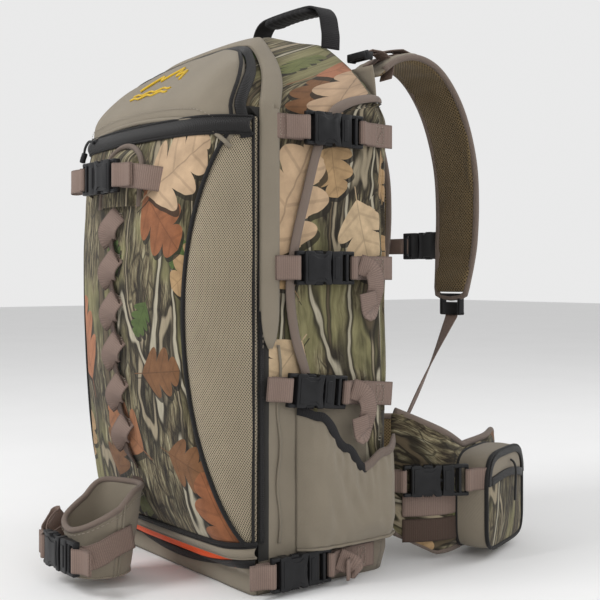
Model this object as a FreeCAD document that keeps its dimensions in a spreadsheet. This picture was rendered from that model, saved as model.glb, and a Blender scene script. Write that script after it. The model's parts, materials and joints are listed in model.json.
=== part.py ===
import FreeCAD, Part
import math
import os
from FreeCAD import Placement, Rotation, Vector

# Hunting backpack.  Frame: +Z up, -Y is the outer front, +Y the wearer's side, +X the wearer's
# right.  The origin is the centre of the flat base that the pack stands on.

doc = FreeCAD.newDocument("hunting_backpack")
sheet = doc.addObject("Spreadsheet::Sheet", "sizes")

SIZES = [
    # bag envelope
    ("bag_width", 290), ("bag_height", 572), ("back_y", 95), ("seam_y", -85),
    ("back_corner", 28), ("fabric_wall", 3), ("skin_wall", 2),
    ("belly_depth", 77), ("belly_height", 330), ("belly_reach_down", 308), ("belly_reach_up", 204),
    ("crown_rise", 94), ("crown_power", 1.4), ("crown_half_width", 60), ("crown_front_y", -15),
    ("crown_back_drop", 15),
    ("front_squareness", 0.88),
    ("base_inset", 7), ("base_round", 22),
    # front panel, lid and bottom pocket
    ("panel_bottom", 52), ("panel_top_gap", 9), ("seam_gap", 0.5), ("crescent_width", 39),
    ("crescent_top_inset", 2), ("zip_band_height", 10), ("lid_sill", 3), ("lid_corner", 11),
    ("lid_height", 118), ("lid_gap", 1.1),
    ("yoke_width", 26), ("yoke_side_width", 22), ("yoke_side_bottom", 235),
    ("mouth_half_width", 92), ("mouth_low", 32), ("mouth_high", 43), ("cover_inset", 4),
    # webbing and buckles
    ("webbing_width", 25), ("webbing_thickness", 1.6), ("buckle_width", 34), ("buckle_thickness", 11),
    ("buckle_wall", 2.4), ("socket_length", 42), ("tongue_length", 30), ("prong_length", 28),
    ("buckle_clearance", 0.6), ("upper_strap_drop", 16), ("middle_strap_z", 322),
    ("lower_strap_z", 196), ("base_strap_z", 22),
    # side panels and pockets
    ("panel_skin", 2), ("pocket_depth", 27), ("pocket_front_y", -38), ("pocket_back_y", 90),
    ("pocket_low", 45), ("pocket_high", 160), ("pocket_wall", 3),
    # holder and boot cup
    ("holder_drop", 28), ("holder_height", 66), ("holder_half_width", 42), ("holder_depth", 13),
    ("cup_top", 96), ("cup_bottom", 10), ("cup_top_radius", 43), ("cup_bottom_radius", 30),
    ("cup_wall", 4), ("cup_stand_off", 3.5),
    # daisy chain
    ("daisy_width", 18), ("daisy_low", 126), ("daisy_drop", 106), ("daisy_loops", 6),
    ("daisy_stand_off", 9),
    # grab handle
    ("handle_half_span", 70), ("handle_y", 66), ("handle_rise", 47), ("handle_webbing", 3),
    ("grip_thickness", 11), ("grip_half_length", 44),
    # frame inside the back
    ("frame_inset", 27), ("frame_sheet_thickness", 2), ("stay_width", 15),
    ("stay_thickness", 3), ("stay_offset", 50), ("back_pad_thickness", 16),
    # shoulder harness
    ("strap_offset", 78), ("strap_width", 64), ("strap_thickness", 14), ("lock_length", 26),
    ("lower_webbing_x", 106), ("lower_webbing_z", 85), ("sternum_drop", 186),
    # hip belt
    ("wing_thickness", 12), ("wing_low", 8), ("wing_high", 124), ("wing_root_inset", 18),
    ("hip_pocket_depth", 42), ("hip_pocket_length", 118), ("hip_pocket_height", 108),
]
for row, (alias, value) in enumerate(SIZES, start=1):
    sheet.set("A%d" % row, alias)
    sheet.set("B%d" % row, str(value))
    sheet.setAlias("B%d" % row, alias)
doc.recompute()

LARGE = 2000.0
nodes = {}


def size(alias):
    """The value of one driving dimension, in millimetres."""
    return float(sheet.get(alias))


def keep(node):
    """Registers a finished sub-part under its label."""
    nodes[node.Label] = node
    return node


def cell(text):
    """Turns dimension names in an expression into references to the sheet."""
    words = sorted((alias for alias, value in SIZES), key=len, reverse=True)
    for position, alias in enumerate(words):
        text = text.replace(alias, "#%03d#" % position)
    for position, alias in enumerate(words):
        text = text.replace("#%03d#" % position, "sizes." + alias)
    return text


def box(label, length, width, height, corner=(0, 0, 0)):
    """A Part::Box whose three sizes are bound to the sheet."""
    item = doc.addObject("Part::Box", label)
    item.Label = label
    for side, rule in (("Length", length), ("Width", width), ("Height", height)):
        item.setExpression(side, cell(str(rule)))
    item.Placement.Base = Vector(*corner)
    return item


def combine(kind, label, first, others):
    """A boolean of document objects: Part::MultiFuse or Part::Cut."""
    item = doc.addObject(kind, label)
    item.Label = label
    if kind == "Part::MultiFuse":
        item.Shapes = [first] + others
    else:
        item.Base = first
        item.Tool = others
    return item


def feature(label, shape):
    """A free-form sub-part whose shape is worked out from the sheet's values."""
    item = doc.addObject("Part::Feature", label)
    item.Label = label
    item.Shape = shape
    item.Placement = shape.Placement
    return keep(item)


def group(label, shapes):
    return feature(label, Part.makeCompound(shapes))


def block(low, high):
    """A plain box between two corners, as a shape for cutting."""
    span = Vector(*high) - Vector(*low)
    return Part.makeBox(span.x, span.y, span.z, Vector(*low))


def facing(origin, along, out):
    """A placement whose local X runs along a strap and whose local Z points out of it."""
    along = Vector(*along).normalize()
    out = Vector(*out).normalize()
    return Placement(Vector(*origin), Rotation(along, out.cross(along), out, "XZY"))


# ---------------------------------------------------------------- bag envelope

half_width = size("bag_width") / 2
bag_height = size("bag_height")
back_y = size("back_y")
seam_y = size("seam_y")
wall = size("fabric_wall")
lid_z = bag_height - size("crown_rise")
panel_low = size("panel_bottom")
panel_high = lid_z - size("panel_top_gap")


def crown_share(height):
    """0 below the lid, growing to 1 at the crest."""
    rise = max(0.0, (height - lid_z) / size("crown_rise"))
    return rise ** size("crown_power")


def bulge(height):
    """How far the front stands out from the side seam below the lid."""
    offset = height - size("belly_height")
    reach = size("belly_reach_up") if offset > 0 else size("belly_reach_down")
    return size("belly_depth") * math.sqrt(max(0.0, 1 - (offset / reach) ** 2))


def front_y(height):
    """The front of the bag on its middle plane."""
    if height <= lid_z:
        return seam_y - max(2.0, bulge(height))
    sill = seam_y - bulge(lid_z)
    return sill + (size("crown_front_y") - sill) * crown_share(height)


def half_at(height):
    """Half of the bag's width at a height."""
    narrowing = (half_width - size("crown_half_width")) * crown_share(height)
    rounding = size("base_inset") * max(0.0, 1 - height / size("base_round"))
    return half_width - narrowing - rounding


def back_at(height):
    """The wearer's side of the bag, which leans forward at the crown."""
    return back_y - size("crown_back_drop") * crown_share(height) ** 2


def seam_at(height):
    """The corner between the front and the side, which follows the front over the crown."""
    return max(seam_y, front_y(height) + 6)


def section(height, grow, level):
    """The plan outline: a bowed front, straight sides and a back with round corners."""
    half = half_at(height) + grow
    front = front_y(height) - grow
    back = back_at(height) + grow
    seam = seam_at(height)
    corner = size("back_corner") + grow
    lean = corner * (1 - math.sqrt(0.5))
    # The front is one shallow arc between two tighter ones that start square to the seams.
    depth = seam - front
    tight = size("front_squareness") * (depth - grow) + grow
    tight_x = half - tight
    shallow = (tight_x ** 2 + depth ** 2 - tight ** 2) / (2 * (depth - tight))
    meet = Vector(tight_x, seam - front - shallow, 0).normalize()
    meet_x = shallow * meet.x
    meet_y = front + shallow + shallow * meet.y
    half_turn = (math.atan2(-meet.y, meet.x)) / 2
    mid_x = tight_x + tight * math.cos(half_turn)
    mid_y = seam - tight * math.sin(half_turn)

    def at(x, y):
        return Vector(x, y, level)

    edges = [
        Part.Arc(at(half, seam), at(mid_x, mid_y), at(meet_x, meet_y)).toShape(),
        Part.Arc(at(meet_x, meet_y), at(0, front), at(-meet_x, meet_y)).toShape(),
        Part.Arc(at(-meet_x, meet_y), at(-mid_x, mid_y), at(-half, seam)).toShape(),
        Part.LineSegment(at(-half, seam), at(-half, back - corner)).toShape(),
        Part.Arc(at(-half, back - corner), at(-half + lean, back - lean),
                 at(-half + corner, back)).toShape(),
        Part.LineSegment(at(-half + corner, back), at(half - corner, back)).toShape(),
        Part.Arc(at(half - corner, back), at(half - lean, back - lean),
                 at(half, back - corner)).toShape(),
        Part.LineSegment(at(half, back - corner), at(half, seam)).toShape(),
    ]
    return Part.Wire(edges)


def envelope(grow=0.0):
    """The bag's outer form, grown or shrunk by a wall."""
    belly = size("belly_height")
    heights = [0, size("base_round"), panel_low, 100, 170, 250, belly]
    heights += [belly + share * (lid_z - belly) for share in (0.405, 0.743, 1)]
    heights += [lid_z + share * size("crown_rise") for share in (0.28, 0.52, 0.74, 0.9, 1.0)]
    levels = list(heights)
    levels[0] = -min(0.0, grow)
    levels[-1] = bag_height + grow
    wires = [section(z, grow, level) for z, level in zip(heights, levels)]
    return Part.makeLoft(wires, True, True)


solid_bag = envelope()
inside_bag = envelope(-wall)
behind_seam = block((-LARGE, seam_y, 0), (LARGE, LARGE, lid_z))
above_sill = block((-LARGE, -LARGE, lid_z), (LARGE, LARGE, LARGE))

# The lid is cut square to the slope, so that it swings out of its opening.
hinge_y = front_y(lid_z + size("lid_sill"))
hinge_z = lid_z + size("lid_sill")
lid_top_z = lid_z + 0.82 * size("crown_rise")
slope = Vector(0, front_y(lid_top_z) - hinge_y, lid_top_z - hinge_z).normalize()
slope_out = Vector(0, -slope.z, slope.y)


def lid_disc(grow, depth_in=45, depth_out=60):
    """The upper half of an elliptic plug, square to the slope and grown from the lid's outline."""
    middle = Vector(0, hinge_y, hinge_z) - slope_out * depth_in
    across = Vector(half_width - size("lid_corner") + grow, 0, 0)
    outline = Part.Ellipse(middle + across, middle + slope * (size("lid_height") + grow), middle)
    plug = Part.Face(Part.Wire(outline.toShape())).extrude(slope_out * (depth_in + depth_out))
    return plug.common(block((-LARGE, -LARGE, hinge_z), (LARGE, LARGE, LARGE)))


# ---------------------------------------------------------------- bag shells

base_plate = solid_bag.common(block((-LARGE, -LARGE, 0), (LARGE, LARGE, wall)))
feature("base_panel", base_plate)

bag_outer = solid_bag.common(behind_seam.fuse(above_sill))
bag_inner = inside_bag.common(block((-LARGE, seam_y + wall, 0), (LARGE, LARGE, LARGE)))
crown_inner = inside_bag.common(block((-LARGE, -LARGE, hinge_z), (LARGE, LARGE, LARGE)))
main_bag = bag_outer.cut(bag_inner).cut(crown_inner).cut(lid_disc(0))
main_bag = main_bag.cut(block((-LARGE, -LARGE, 0), (LARGE, LARGE, wall)))
feature("main_bag", main_bag)

lid_shell = solid_bag.cut(inside_bag)
lid_piece = lid_shell.common(lid_disc(-size("lid_gap")))
lift = block((-LARGE, -LARGE, hinge_z + size("lid_gap")), (LARGE, LARGE, LARGE))
feature("lid_flap", lid_piece.common(lift))

pocket_zone = block((-LARGE, -LARGE, wall), (LARGE, seam_y, panel_low - 2))
pocket_room = block((-LARGE, -LARGE, 2 * wall), (LARGE, seam_y - wall, panel_low - 2 - wall))
mouth = block((-size("mouth_half_width"), -LARGE, size("mouth_low")),
              (size("mouth_half_width"), seam_y - 3 * wall, size("mouth_high")))
bottom_room = inside_bag.common(pocket_room)
bottom_pocket = solid_bag.common(pocket_zone).cut(bottom_room).cut(mouth)
feature("bottom_pocket", bottom_pocket)

cover = size("cover_inset")
cover_zone = block((-90, -LARGE, 2 * wall + 0.5), (90, seam_y - wall - cover, size("mouth_high")))
feature("blaze_cover", envelope(-wall - 0.8).common(cover_zone))

# ---------------------------------------------------------------- front panel

panel_zone = block((-LARGE, -LARGE, panel_low + 0.5), (LARGE, seam_y - size("seam_gap"), panel_high))
panel_room = block((-LARGE, -LARGE, panel_low + wall + 0.5), (LARGE, seam_y, panel_high - wall))
panel_shell = solid_bag.common(panel_zone).cut(inside_bag.common(panel_room))

# Each mesh crescent is what an upright circle, seen from the front, takes off the panel's side.
crescent_half = (panel_high - panel_low) / 2
crescent_sag = size("crescent_width") - size("crescent_top_inset")
crescent_radius = (crescent_half ** 2 + crescent_sag ** 2) / (2 * crescent_sag)
crescent_x = half_width - size("crescent_width") + crescent_radius
crescent_z = (panel_high + panel_low) / 2
center_panel = panel_shell
for side, name in ((1, "right"), (-1, "left")):
    drum = Part.makeCylinder(crescent_radius, 2 * LARGE, Vector(side * crescent_x, -LARGE, crescent_z),
                             Vector(0, 1, 0))
    outer_half = block((min(0, side * LARGE), -LARGE, 0), (max(0, side * LARGE), LARGE, LARGE))
    feature("mesh_pocket_" + name, panel_shell.common(drum).common(outer_half))
    center_panel = center_panel.cut(drum.common(outer_half))
feature("front_center_panel", center_panel)

band_low = panel_high - 2 - size("zip_band_height")
band_zone = block((-LARGE, -LARGE, band_low), (LARGE, seam_y - 8, panel_high - 2))
feature("front_zip_band", envelope(1.5).cut(solid_bag).common(band_zone))


def front_circle(height):
    """Radius and centre of the front's shallow plan arc at a height."""
    depth = seam_y - front_y(height)
    tight = size("front_squareness") * depth
    radius = ((half_width - tight) ** 2 + depth ** 2 - tight ** 2) / (2 * (depth - tight))
    return radius, front_y(height) + radius


slider_z = band_low + size("zip_band_height") / 2
track_radius, track_y = front_circle(slider_z)
SLIDER_X = -86.0
slider = Part.makeBox(9, 5, 8, Vector(-4.5, -track_radius - 8.5, slider_z - 4))
pull_bar = Part.makeCylinder(1.6, 26, Vector(-29, -track_radius - 6.5, slider_z), Vector(1, 0, 0))
pull_end = Part.makeBox(8, 7, 7, Vector(-35, -track_radius - 10, slider_z - 3.5))
slider = slider.fuse(pull_bar).fuse(pull_end)
slider.rotate(Vector(0, 0, 0), Vector(0, 0, 1), math.degrees(math.asin(SLIDER_X / track_radius)))
slider.translate(Vector(0, track_y, 0))
feature("front_zip_slider", slider)

# ---------------------------------------------------------------- yoke strip and side panels

yoke_ring = lid_disc(size("yoke_width"), 60, 60).cut(lid_disc(2, 61, 61))
yoke_front = block((-LARGE, -LARGE, hinge_z), (LARGE, size("crown_front_y") + 5, LARGE))
yoke_skin = envelope(size("skin_wall")).cut(solid_bag)
yoke_side = block((-LARGE, seam_y + 0.4, size("yoke_side_bottom")),
                  (LARGE, seam_y + size("yoke_side_width"), hinge_z))
yoke_arc = yoke_skin.common(yoke_ring.common(yoke_front))
feature("yoke_strip", yoke_skin.common(yoke_side).fuse(yoke_arc))

skin = size("panel_skin")
for side, name in ((1, "right"), (-1, "left")):
    sheet_box = box("side_panel_" + name, "panel_skin",
                    "back_y - back_corner - seam_y - yoke_side_width - 1",
                    "bag_height - crown_rise - pocket_high - 14")
    left_edge = half_width + 0.2 if side > 0 else -half_width - 0.2 - skin
    sheet_box.Placement.Base = Vector(left_edge, seam_y + size("yoke_side_width") + 0.5,
                                      size("pocket_high") + 10)
    keep(sheet_box)

    depth = size("pocket_depth")
    outer = block((0, size("pocket_front_y"), size("pocket_low")),
                  (depth, size("pocket_back_y"), size("pocket_high")))
    rim_edges = [edge for edge in outer.Edges
                 if edge.CenterOfMass.x > depth - 1 and abs(edge.Vertexes[0].Z - edge.Vertexes[-1].Z) > 1]
    outer = outer.makeFillet(size("pocket_depth") * 0.55, rim_edges)
    rim = size("pocket_wall")
    room = block((rim, size("pocket_front_y") + rim, size("pocket_low") + rim),
                 (depth - rim, size("pocket_back_y") - rim, LARGE))
    room_edges = [edge for edge in room.Edges
                  if edge.CenterOfMass.x > depth - rim - 1
                  and abs(edge.Vertexes[0].Z - edge.Vertexes[-1].Z) > 1]
    room = room.makeFillet(size("pocket_depth") * 0.45, room_edges)
    pocket = outer.cut(room)
    if side < 0:
        pocket = pocket.mirror(Vector(0, 0, 0), Vector(1, 0, 0))
    pocket.translate(Vector(side * (half_width + 0.2), 0, 0))
    feature("side_pocket_" + name, pocket)

# ---------------------------------------------------------------- webbing and buckles


def socket(label, place):
    """The female half of a side-release buckle: local X points out of its mouth."""
    case = box(label + "_case", "socket_length", "buckle_width", "buckle_thickness",
               (-size("socket_length"), -size("buckle_width") / 2, 0))
    room = box(label + "_room", "prong_length + 3", "buckle_width - 2 * buckle_wall",
               "buckle_thickness - 2 * buckle_wall",
               (-size("prong_length") - 2, -size("buckle_width") / 2 + size("buckle_wall"),
                size("buckle_wall")))
    slot = box(label + "_slot", "4", "webbing_width + 1", "buckle_thickness + 2",
               (-size("socket_length") + 3, -size("webbing_width") / 2 - 0.5, -1))
    tools = combine("Part::MultiFuse", label + "_tools", room, [slot])
    item = combine("Part::Cut", label, case, tools)
    item.Placement = place
    return item


def tongue(label, place):
    """The male half: a bar for the webbing and three prongs that slide into the socket."""
    gap = size("buckle_clearance")
    bar = box(label + "_bar", "tongue_length", "buckle_width", "buckle_thickness - 2",
              (gap, -size("buckle_width") / 2, 1))
    slot = box(label + "_slot", "8", "webbing_width + 1", "buckle_thickness + 2",
               (size("tongue_length") - 16, -size("webbing_width") / 2 - 0.5, -1))
    inner = size("buckle_width") / 2 - size("buckle_wall") - gap
    rise = size("buckle_wall") + gap
    prongs = []
    for place_name, left in (("low", -inner), ("middle", -2), ("high", inner - 5)):
        prongs.append(box(label + "_prong_" + place_name, "prong_length + 1.5",
                          "4" if place_name == "middle" else "5",
                          "buckle_thickness - 2 * buckle_wall - 2 * buckle_clearance",
                          (-size("prong_length"), left, rise)))
    plate = combine("Part::Cut", label + "_plate", bar, slot)
    item = combine("Part::MultiFuse", label, plate, prongs)
    item.Placement = place
    return item


def ribbon(start, end, out, width, thickness):
    """A flat strip from one point to another, lying on its inner face."""
    start = Vector(*start)
    end = Vector(*end)
    strip = Part.makeBox((end - start).Length, width, thickness, Vector(0, -width / 2, 0))
    strip.Placement = facing(start, end - start, out)
    return strip


def group_of(label, items):
    item = doc.addObject("Part::Compound", label)
    item.Label = label
    item.Links = items
    return keep(item)


strap_w = size("webbing_width")
strap_t = size("webbing_thickness")
strap_x = half_width + 0.2 + skin + 0.3
buckle_x = strap_x + strap_t + 0.3
upper_strap_z = lid_z - size("upper_strap_drop")
strap_front = seam_y + 23
strap_rear = back_y - 29
# name, height at the front end, height at the back end, front end, back end, buckle joint in y
SIDE_STRAPS = [
    ("upper", upper_strap_z, upper_strap_z, strap_front, strap_rear, 8),
    ("middle", size("middle_strap_z"), size("middle_strap_z"), strap_front, strap_rear, -4),
    ("lower", size("lower_strap_z") + 6, size("lower_strap_z") - 6, strap_front, strap_rear, -14),
    ("base", size("base_strap_z"), size("base_strap_z"), seam_y + 5, strap_rear - 26, -34),
]
for side, name in ((1, "right"), (-1, "left")):
    out = (side, 0, 0)
    webbing = []
    sockets = []
    for strap, front_z, rear_z, front_end, rear_end, joint_y in SIDE_STRAPS:
        start = (side * strap_x, front_end, front_z)
        end = (side * strap_x, rear_end, rear_z)
        webbing.append(ribbon(start, end, out, strap_w, strap_t))
        run = Vector(*end) - Vector(*start)
        joint_z = front_z + run.z * (joint_y - front_end) / run.y
        place = facing((side * buckle_x, joint_y, joint_z), run, out)
        sockets.append(socket("%s_socket_%s" % (strap, name), place))
        male = tongue("%s_tongue_%s" % (strap, name), place)
        if strap == "base":
            sockets.append(male)
        else:
            keep(male)
    group("compression_webbing_" + name, webbing)
    group_of("compression_sockets_" + name, sockets)

# ---------------------------------------------------------------- holder, daisy chain, boot cup

holder_high = lid_z - size("holder_drop")
holder_low = holder_high - size("holder_height")
holder_zone = block((-size("holder_half_width"), -LARGE, holder_low),
                    (size("holder_half_width"), seam_y, holder_high))
feature("holder_pad", envelope(size("holder_depth")).cut(envelope(0.2)).common(holder_zone))

holder_z = (holder_low + holder_high) / 2 - 2
holder_face = front_y(holder_low) - size("holder_depth") - 1
holder_out = (0, -1, 0)
holder_strip = ribbon((-72, holder_face, holder_z), (64, holder_face, holder_z), holder_out,
                      strap_w, strap_t)


def daisy_ribbon():
    """One strip tacked to the panel at every knot and standing off in a loop between them."""
    loops = int(size("daisy_loops"))
    pitch = (lid_z - size("daisy_drop") - size("daisy_low")) / loops
    near = []
    far = []
    for step in range(4 * loops + 1):
        height = size("daisy_low") + step * pitch / 4
        lift = size("daisy_stand_off") * (1.0 if step % 4 == 2 else 0.0 if step % 4 == 0 else 0.75)
        face = front_y(height) - 0.6 - lift
        near.append(Vector(0, face, height))
        far.append(Vector(0, face - strap_t, height))
    outline = near + far[::-1] + [near[0]]
    strip = Part.Face(Part.makePolygon(outline)).extrude(Vector(size("daisy_width"), 0, 0))
    strip.translate(Vector(-size("daisy_width") / 2, 0, 0))
    return strip


hang_y = front_y(size("cup_top") + 5) - size("cup_stand_off")
hang_z = size("cup_top") + 5
hanger = block((-18, hang_y - 3, hang_z + 3), (18, front_y(hang_z + 11) - 0.6, hang_z + 11))
group("front_webbing", [daisy_ribbon(), holder_strip, hanger])
holder_place = facing((-8, holder_face - strap_t - 0.4, holder_z), (-1, 0, 0), holder_out)
keep(socket("holder_socket", holder_place))
keep(tongue("holder_tongue", holder_place))

cup_y = hang_y - size("cup_top_radius") + 1
cup_height = size("cup_top") - size("cup_bottom")
cup_solid = Part.makeCone(size("cup_bottom_radius"), size("cup_top_radius"), cup_height,
                          Vector(0, cup_y, size("cup_bottom")))
cup_room = Part.makeCone(size("cup_bottom_radius") - size("cup_wall"),
                         size("cup_top_radius") - size("cup_wall"), cup_height,
                         Vector(0, cup_y, size("cup_bottom") + size("cup_wall")))
scoop = block((-LARGE, -LARGE, 0), (LARGE, 0, LARGE))
scoop.rotate(Vector(0, 0, 0), Vector(1, 0, 0), 24)
scoop.translate(Vector(0, cup_y + 8, size("cup_top") - 12))
lug = block((-12, hang_y - 2, size("cup_top") - 8), (12, hang_y + 1.6, hang_z + 1))
cup = cup_solid.fuse(lug).cut(cup_room).cut(scoop)
feature("boot_cup", cup)
cup_strap_z = size("cup_bottom") + 26
cup_strap_y = cup_y - size("cup_bottom_radius") - 6
group("cup_webbing", [ribbon((-44, cup_strap_y, cup_strap_z), (44, cup_strap_y, cup_strap_z),
                             holder_out, strap_w, strap_t)])
cup_place = facing((6, cup_strap_y - strap_t - 0.4, cup_strap_z), (1, 0, 0), holder_out)
keep(socket("cup_socket", cup_place))
keep(tongue("cup_tongue", cup_place))

# ---------------------------------------------------------------- grab handle

handle_z = bag_height + 1.5
span = size("handle_half_span")
rise = size("handle_rise")
bend = 16.0
foot = 6.2
outer_edge = Part.makeBox(2 * span, strap_w, rise + foot, Vector(-span, -strap_w / 2, -foot))
inner_edge = Part.makeBox(2 * (span - size("handle_webbing")), strap_w + 2, rise + foot,
                          Vector(-span + size("handle_webbing"), -strap_w / 2 - 1,
                                 -foot - size("handle_webbing")))


def round_top(shape, radius):
    """Rounds the two upper corners of an arch that lies across X."""
    top = shape.BoundBox.ZMax
    edges = [edge for edge in shape.Edges
             if abs(edge.CenterOfMass.z - top) < 0.01 and abs(edge.CenterOfMass.x) > 1]
    return shape.makeFillet(radius, edges)


arch = round_top(outer_edge, bend).cut(round_top(inner_edge, bend - size("handle_webbing")))
# Each foot is round about the axis that the handle swings on.
foot_edges = [edge for edge in arch.Edges
              if edge.CenterOfMass.z < 1 - foot and abs(edge.CenterOfMass.y) > strap_w / 2 - 1]
arch = arch.makeFillet(strap_w / 2 - 0.1, foot_edges)
arch.translate(Vector(0, size("handle_y"), handle_z))
feature("grab_handle_webbing", arch)
grip_low = handle_z + rise - size("handle_webbing") - size("grip_thickness") / 2
grip = block((-size("grip_half_length"), size("handle_y") - 15, grip_low),
             (size("grip_half_length"), size("handle_y") + 15, grip_low + size("grip_thickness")))
feature("grab_handle_grip", grip.makeFillet(4, grip.Edges).cut(arch))

# ---------------------------------------------------------------- frame and back pads

sheet_y = back_y - wall - size("frame_sheet_thickness") - 0.3
frame_z = 24
frame_sheet = box("frame_sheet", "bag_width - 2 * frame_inset", "frame_sheet_thickness",
                  "bag_height - crown_rise - 26",
                  (size("frame_inset") - half_width, sheet_y, frame_z))
keep(frame_sheet)
stays = []
for side in (1, -1):
    stay = box("frame_stay_%d" % (side + 1), "stay_width", "stay_thickness",
               "bag_height - crown_rise - 40",
               (side * size("stay_offset") - size("stay_width") / 2,
                sheet_y - size("stay_thickness") - 0.1, frame_z + 6))
    stays.append(stay)
group_of("frame_stays", stays)

pad_t = size("back_pad_thickness")
pads = []
for side in (1, -1):
    pad = block((side * 60 - 40, back_y + 0.2, 205), (side * 60 + 40, back_y + pad_t, lid_z + 22))
    pads.append(pad.makeFillet(7, [edge for edge in pad.Edges if edge.CenterOfMass.y > back_y + 1]))
group("back_pads", pads)
lumbar = block((-92, back_y + 0.2, 50), (92, back_y + pad_t + 4, 180))
feature("lumbar_pad", lumbar.makeFillet(8, [edge for edge in lumbar.Edges
                                           if edge.CenterOfMass.y > back_y + 1]))

# ---------------------------------------------------------------- shoulder harness

anchor_y = back_y + 9
anchor_z = bag_height - 34
plate_half = size("strap_offset") + size("strap_width") / 2 + 2
yoke_plate = block((-plate_half, back_y - 12, anchor_z - 28),
                   (plate_half, anchor_y - size("strap_thickness") / 2 - 0.5, anchor_z + 6))
feature("strap_yoke", yoke_plate.cut(solid_bag))

# The strap's middle line in its own upright plane, as (y, z) steps from its anchor.
STRAP_STEPS = [(0, 0), (28, 19), (62, 24), (96, 9), (127, -30), (147, -86), (152, -142), (149, -198),
               (142, -244)]
STRAP_LINE = [(anchor_y + y, anchor_z + z) for y, z in STRAP_STEPS]


def strap_solid(offset_x):
    """A pad of even thickness around the strap's middle line."""
    left = []
    right = []
    half = size("strap_thickness") / 2
    for index, (y, z) in enumerate(STRAP_LINE):
        before = STRAP_LINE[max(0, index - 1)]
        after = STRAP_LINE[min(len(STRAP_LINE) - 1, index + 1)]
        run = Vector(0, after[0] - before[0], after[1] - before[1]).normalize()
        normal = Vector(0, -run.z, run.y)
        middle = Vector(0, y, z)
        left.append(middle + normal * half)
        right.append(middle - normal * half)
    outline = left + right[::-1] + [left[0]]
    pad = Part.Face(Part.makePolygon(outline)).extrude(Vector(size("strap_width"), 0, 0))
    pad.translate(Vector(offset_x - size("strap_width") / 2, 0, 0))
    return pad


lock_y, lock_z = STRAP_LINE[-1]
lifter_adjusters = []
lower_webbing = []
load_lifters = []
for side, name in ((1, "right"), (-1, "left")):
    offset_x = side * size("strap_offset")
    feature("shoulder_pad_" + name, strap_solid(offset_x))
    lock = block((offset_x - 17, lock_y - 4, lock_z - size("lock_length") - 1),
                 (offset_x + 17, lock_y + 5, lock_z - 1))
    lock = lock.cut(block((offset_x - 13, lock_y - 10, lock_z - size("lock_length") + 3),
                          (offset_x + 13, lock_y + 10, lock_z - size("lock_length") + 9)))
    lock = lock.cut(block((offset_x - 13, lock_y - 10, lock_z - 11),
                          (offset_x + 13, lock_y + 10, lock_z - 6)))
    feature("ladder_lock_" + name, lock)
    low_end = (side * size("lower_webbing_x"), back_y + 4, size("lower_webbing_z"))
    high_end = (offset_x, lock_y, lock_z - size("lock_length") - 3)
    lower_webbing.append(ribbon(low_end, high_end, (0, 1, -0.7), strap_w - 5, strap_t))
    lifter_start = (side * 88, anchor_y - 1.5, anchor_z + 22)
    lifter_end = (side * 80, STRAP_LINE[1][0] + 20, STRAP_LINE[1][1] + 17)
    load_lifters.append(ribbon(lifter_start, lifter_end, (0, 0, 1), strap_w - 5, strap_t))
    adjuster = block((side * 90 - 16, anchor_y - 20, anchor_z + 14),
                     (side * 90 + 16, anchor_y - 4, anchor_z + 25))
    lifter_adjusters.append(adjuster.cut(solid_bag))
group("lifter_adjusters", lifter_adjusters)
group("lower_webbing", lower_webbing)
group("load_lifters", load_lifters)

sternum_y = anchor_y + 150.5 + size("strap_thickness") / 2 + 1
sternum_z = anchor_z - size("sternum_drop")
sternum_reach = size("strap_offset") - size("strap_width") / 2
for side, name in ((1, "right"), (-1, "left")):
    start = (side * (sternum_reach + 18), sternum_y, sternum_z)
    end = (side * 1.0, sternum_y, sternum_z)
    feature("sternum_webbing_" + name, ribbon(start, end, (0, 1, 0), 20, strap_t))
sternum_place = facing((0, sternum_y + strap_t + 0.4, sternum_z), (-1, 0, 0), (0, 1, 0))
keep(socket("sternum_socket", sternum_place))
keep(tongue("sternum_tongue", sternum_place))

# ---------------------------------------------------------------- hip belt

# The wing's middle line in plan, as (x, y) steps from its root at the lumbar pad.
WING_STEPS = [(0, 0), (18, 32), (24, 64), (4, 116), (-19, 168), (-49, 212)]
root_x = half_width - size("wing_root_inset")
root_y = back_y + 9
WING_LINE = [(root_x + x, root_y + y) for x, y in WING_STEPS]
# Its edge seen from the side, as (y, z) points: it drops from the lumbar pad to the pocket.
root_high = size("wing_high") + 46
wing_back = root_y - 14
WING_EDGE = [(wing_back, 40), (root_y + 46, size("wing_low")), (LARGE, size("wing_low")),
             (LARGE, size("wing_high")), (root_y + 96, size("wing_high")), (root_y, root_high),
             (wing_back, root_high)]


def wing_solid(side):
    inner = []
    outer = []
    half = size("wing_thickness") / 2
    for index, (x, y) in enumerate(WING_LINE):
        before = WING_LINE[max(0, index - 1)]
        after = WING_LINE[min(len(WING_LINE) - 1, index + 1)]
        run = Vector(after[0] - before[0], after[1] - before[1], 0).normalize()
        normal = Vector(run.y, -run.x, 0)
        outer.append(Vector(x, y, 0) + normal * half)
        inner.append(Vector(x, y, 0) - normal * half)
    outline = [Vector(side * p.x, p.y, 0) for p in outer + inner[::-1] + [outer[0]]]
    wing = Part.Face(Part.makePolygon(outline)).extrude(Vector(0, 0, LARGE))
    edge = [Vector(-LARGE, y, z) for y, z in WING_EDGE + [WING_EDGE[0]]]
    return wing.common(Part.Face(Part.makePolygon(edge)).extrude(Vector(2 * LARGE, 0, 0)))


pocket_run = Vector(-0.382, 0.924, 0)
pocket_out = Vector(0.924, 0.382, 0)
pocket_corner = Vector(*WING_LINE[2], 0)
pocket_start = pocket_corner + pocket_out * (size("wing_thickness") / 2 + 0.4)
pocket_z = size("wing_low") + size("hip_pocket_height") / 2 + 2


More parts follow.
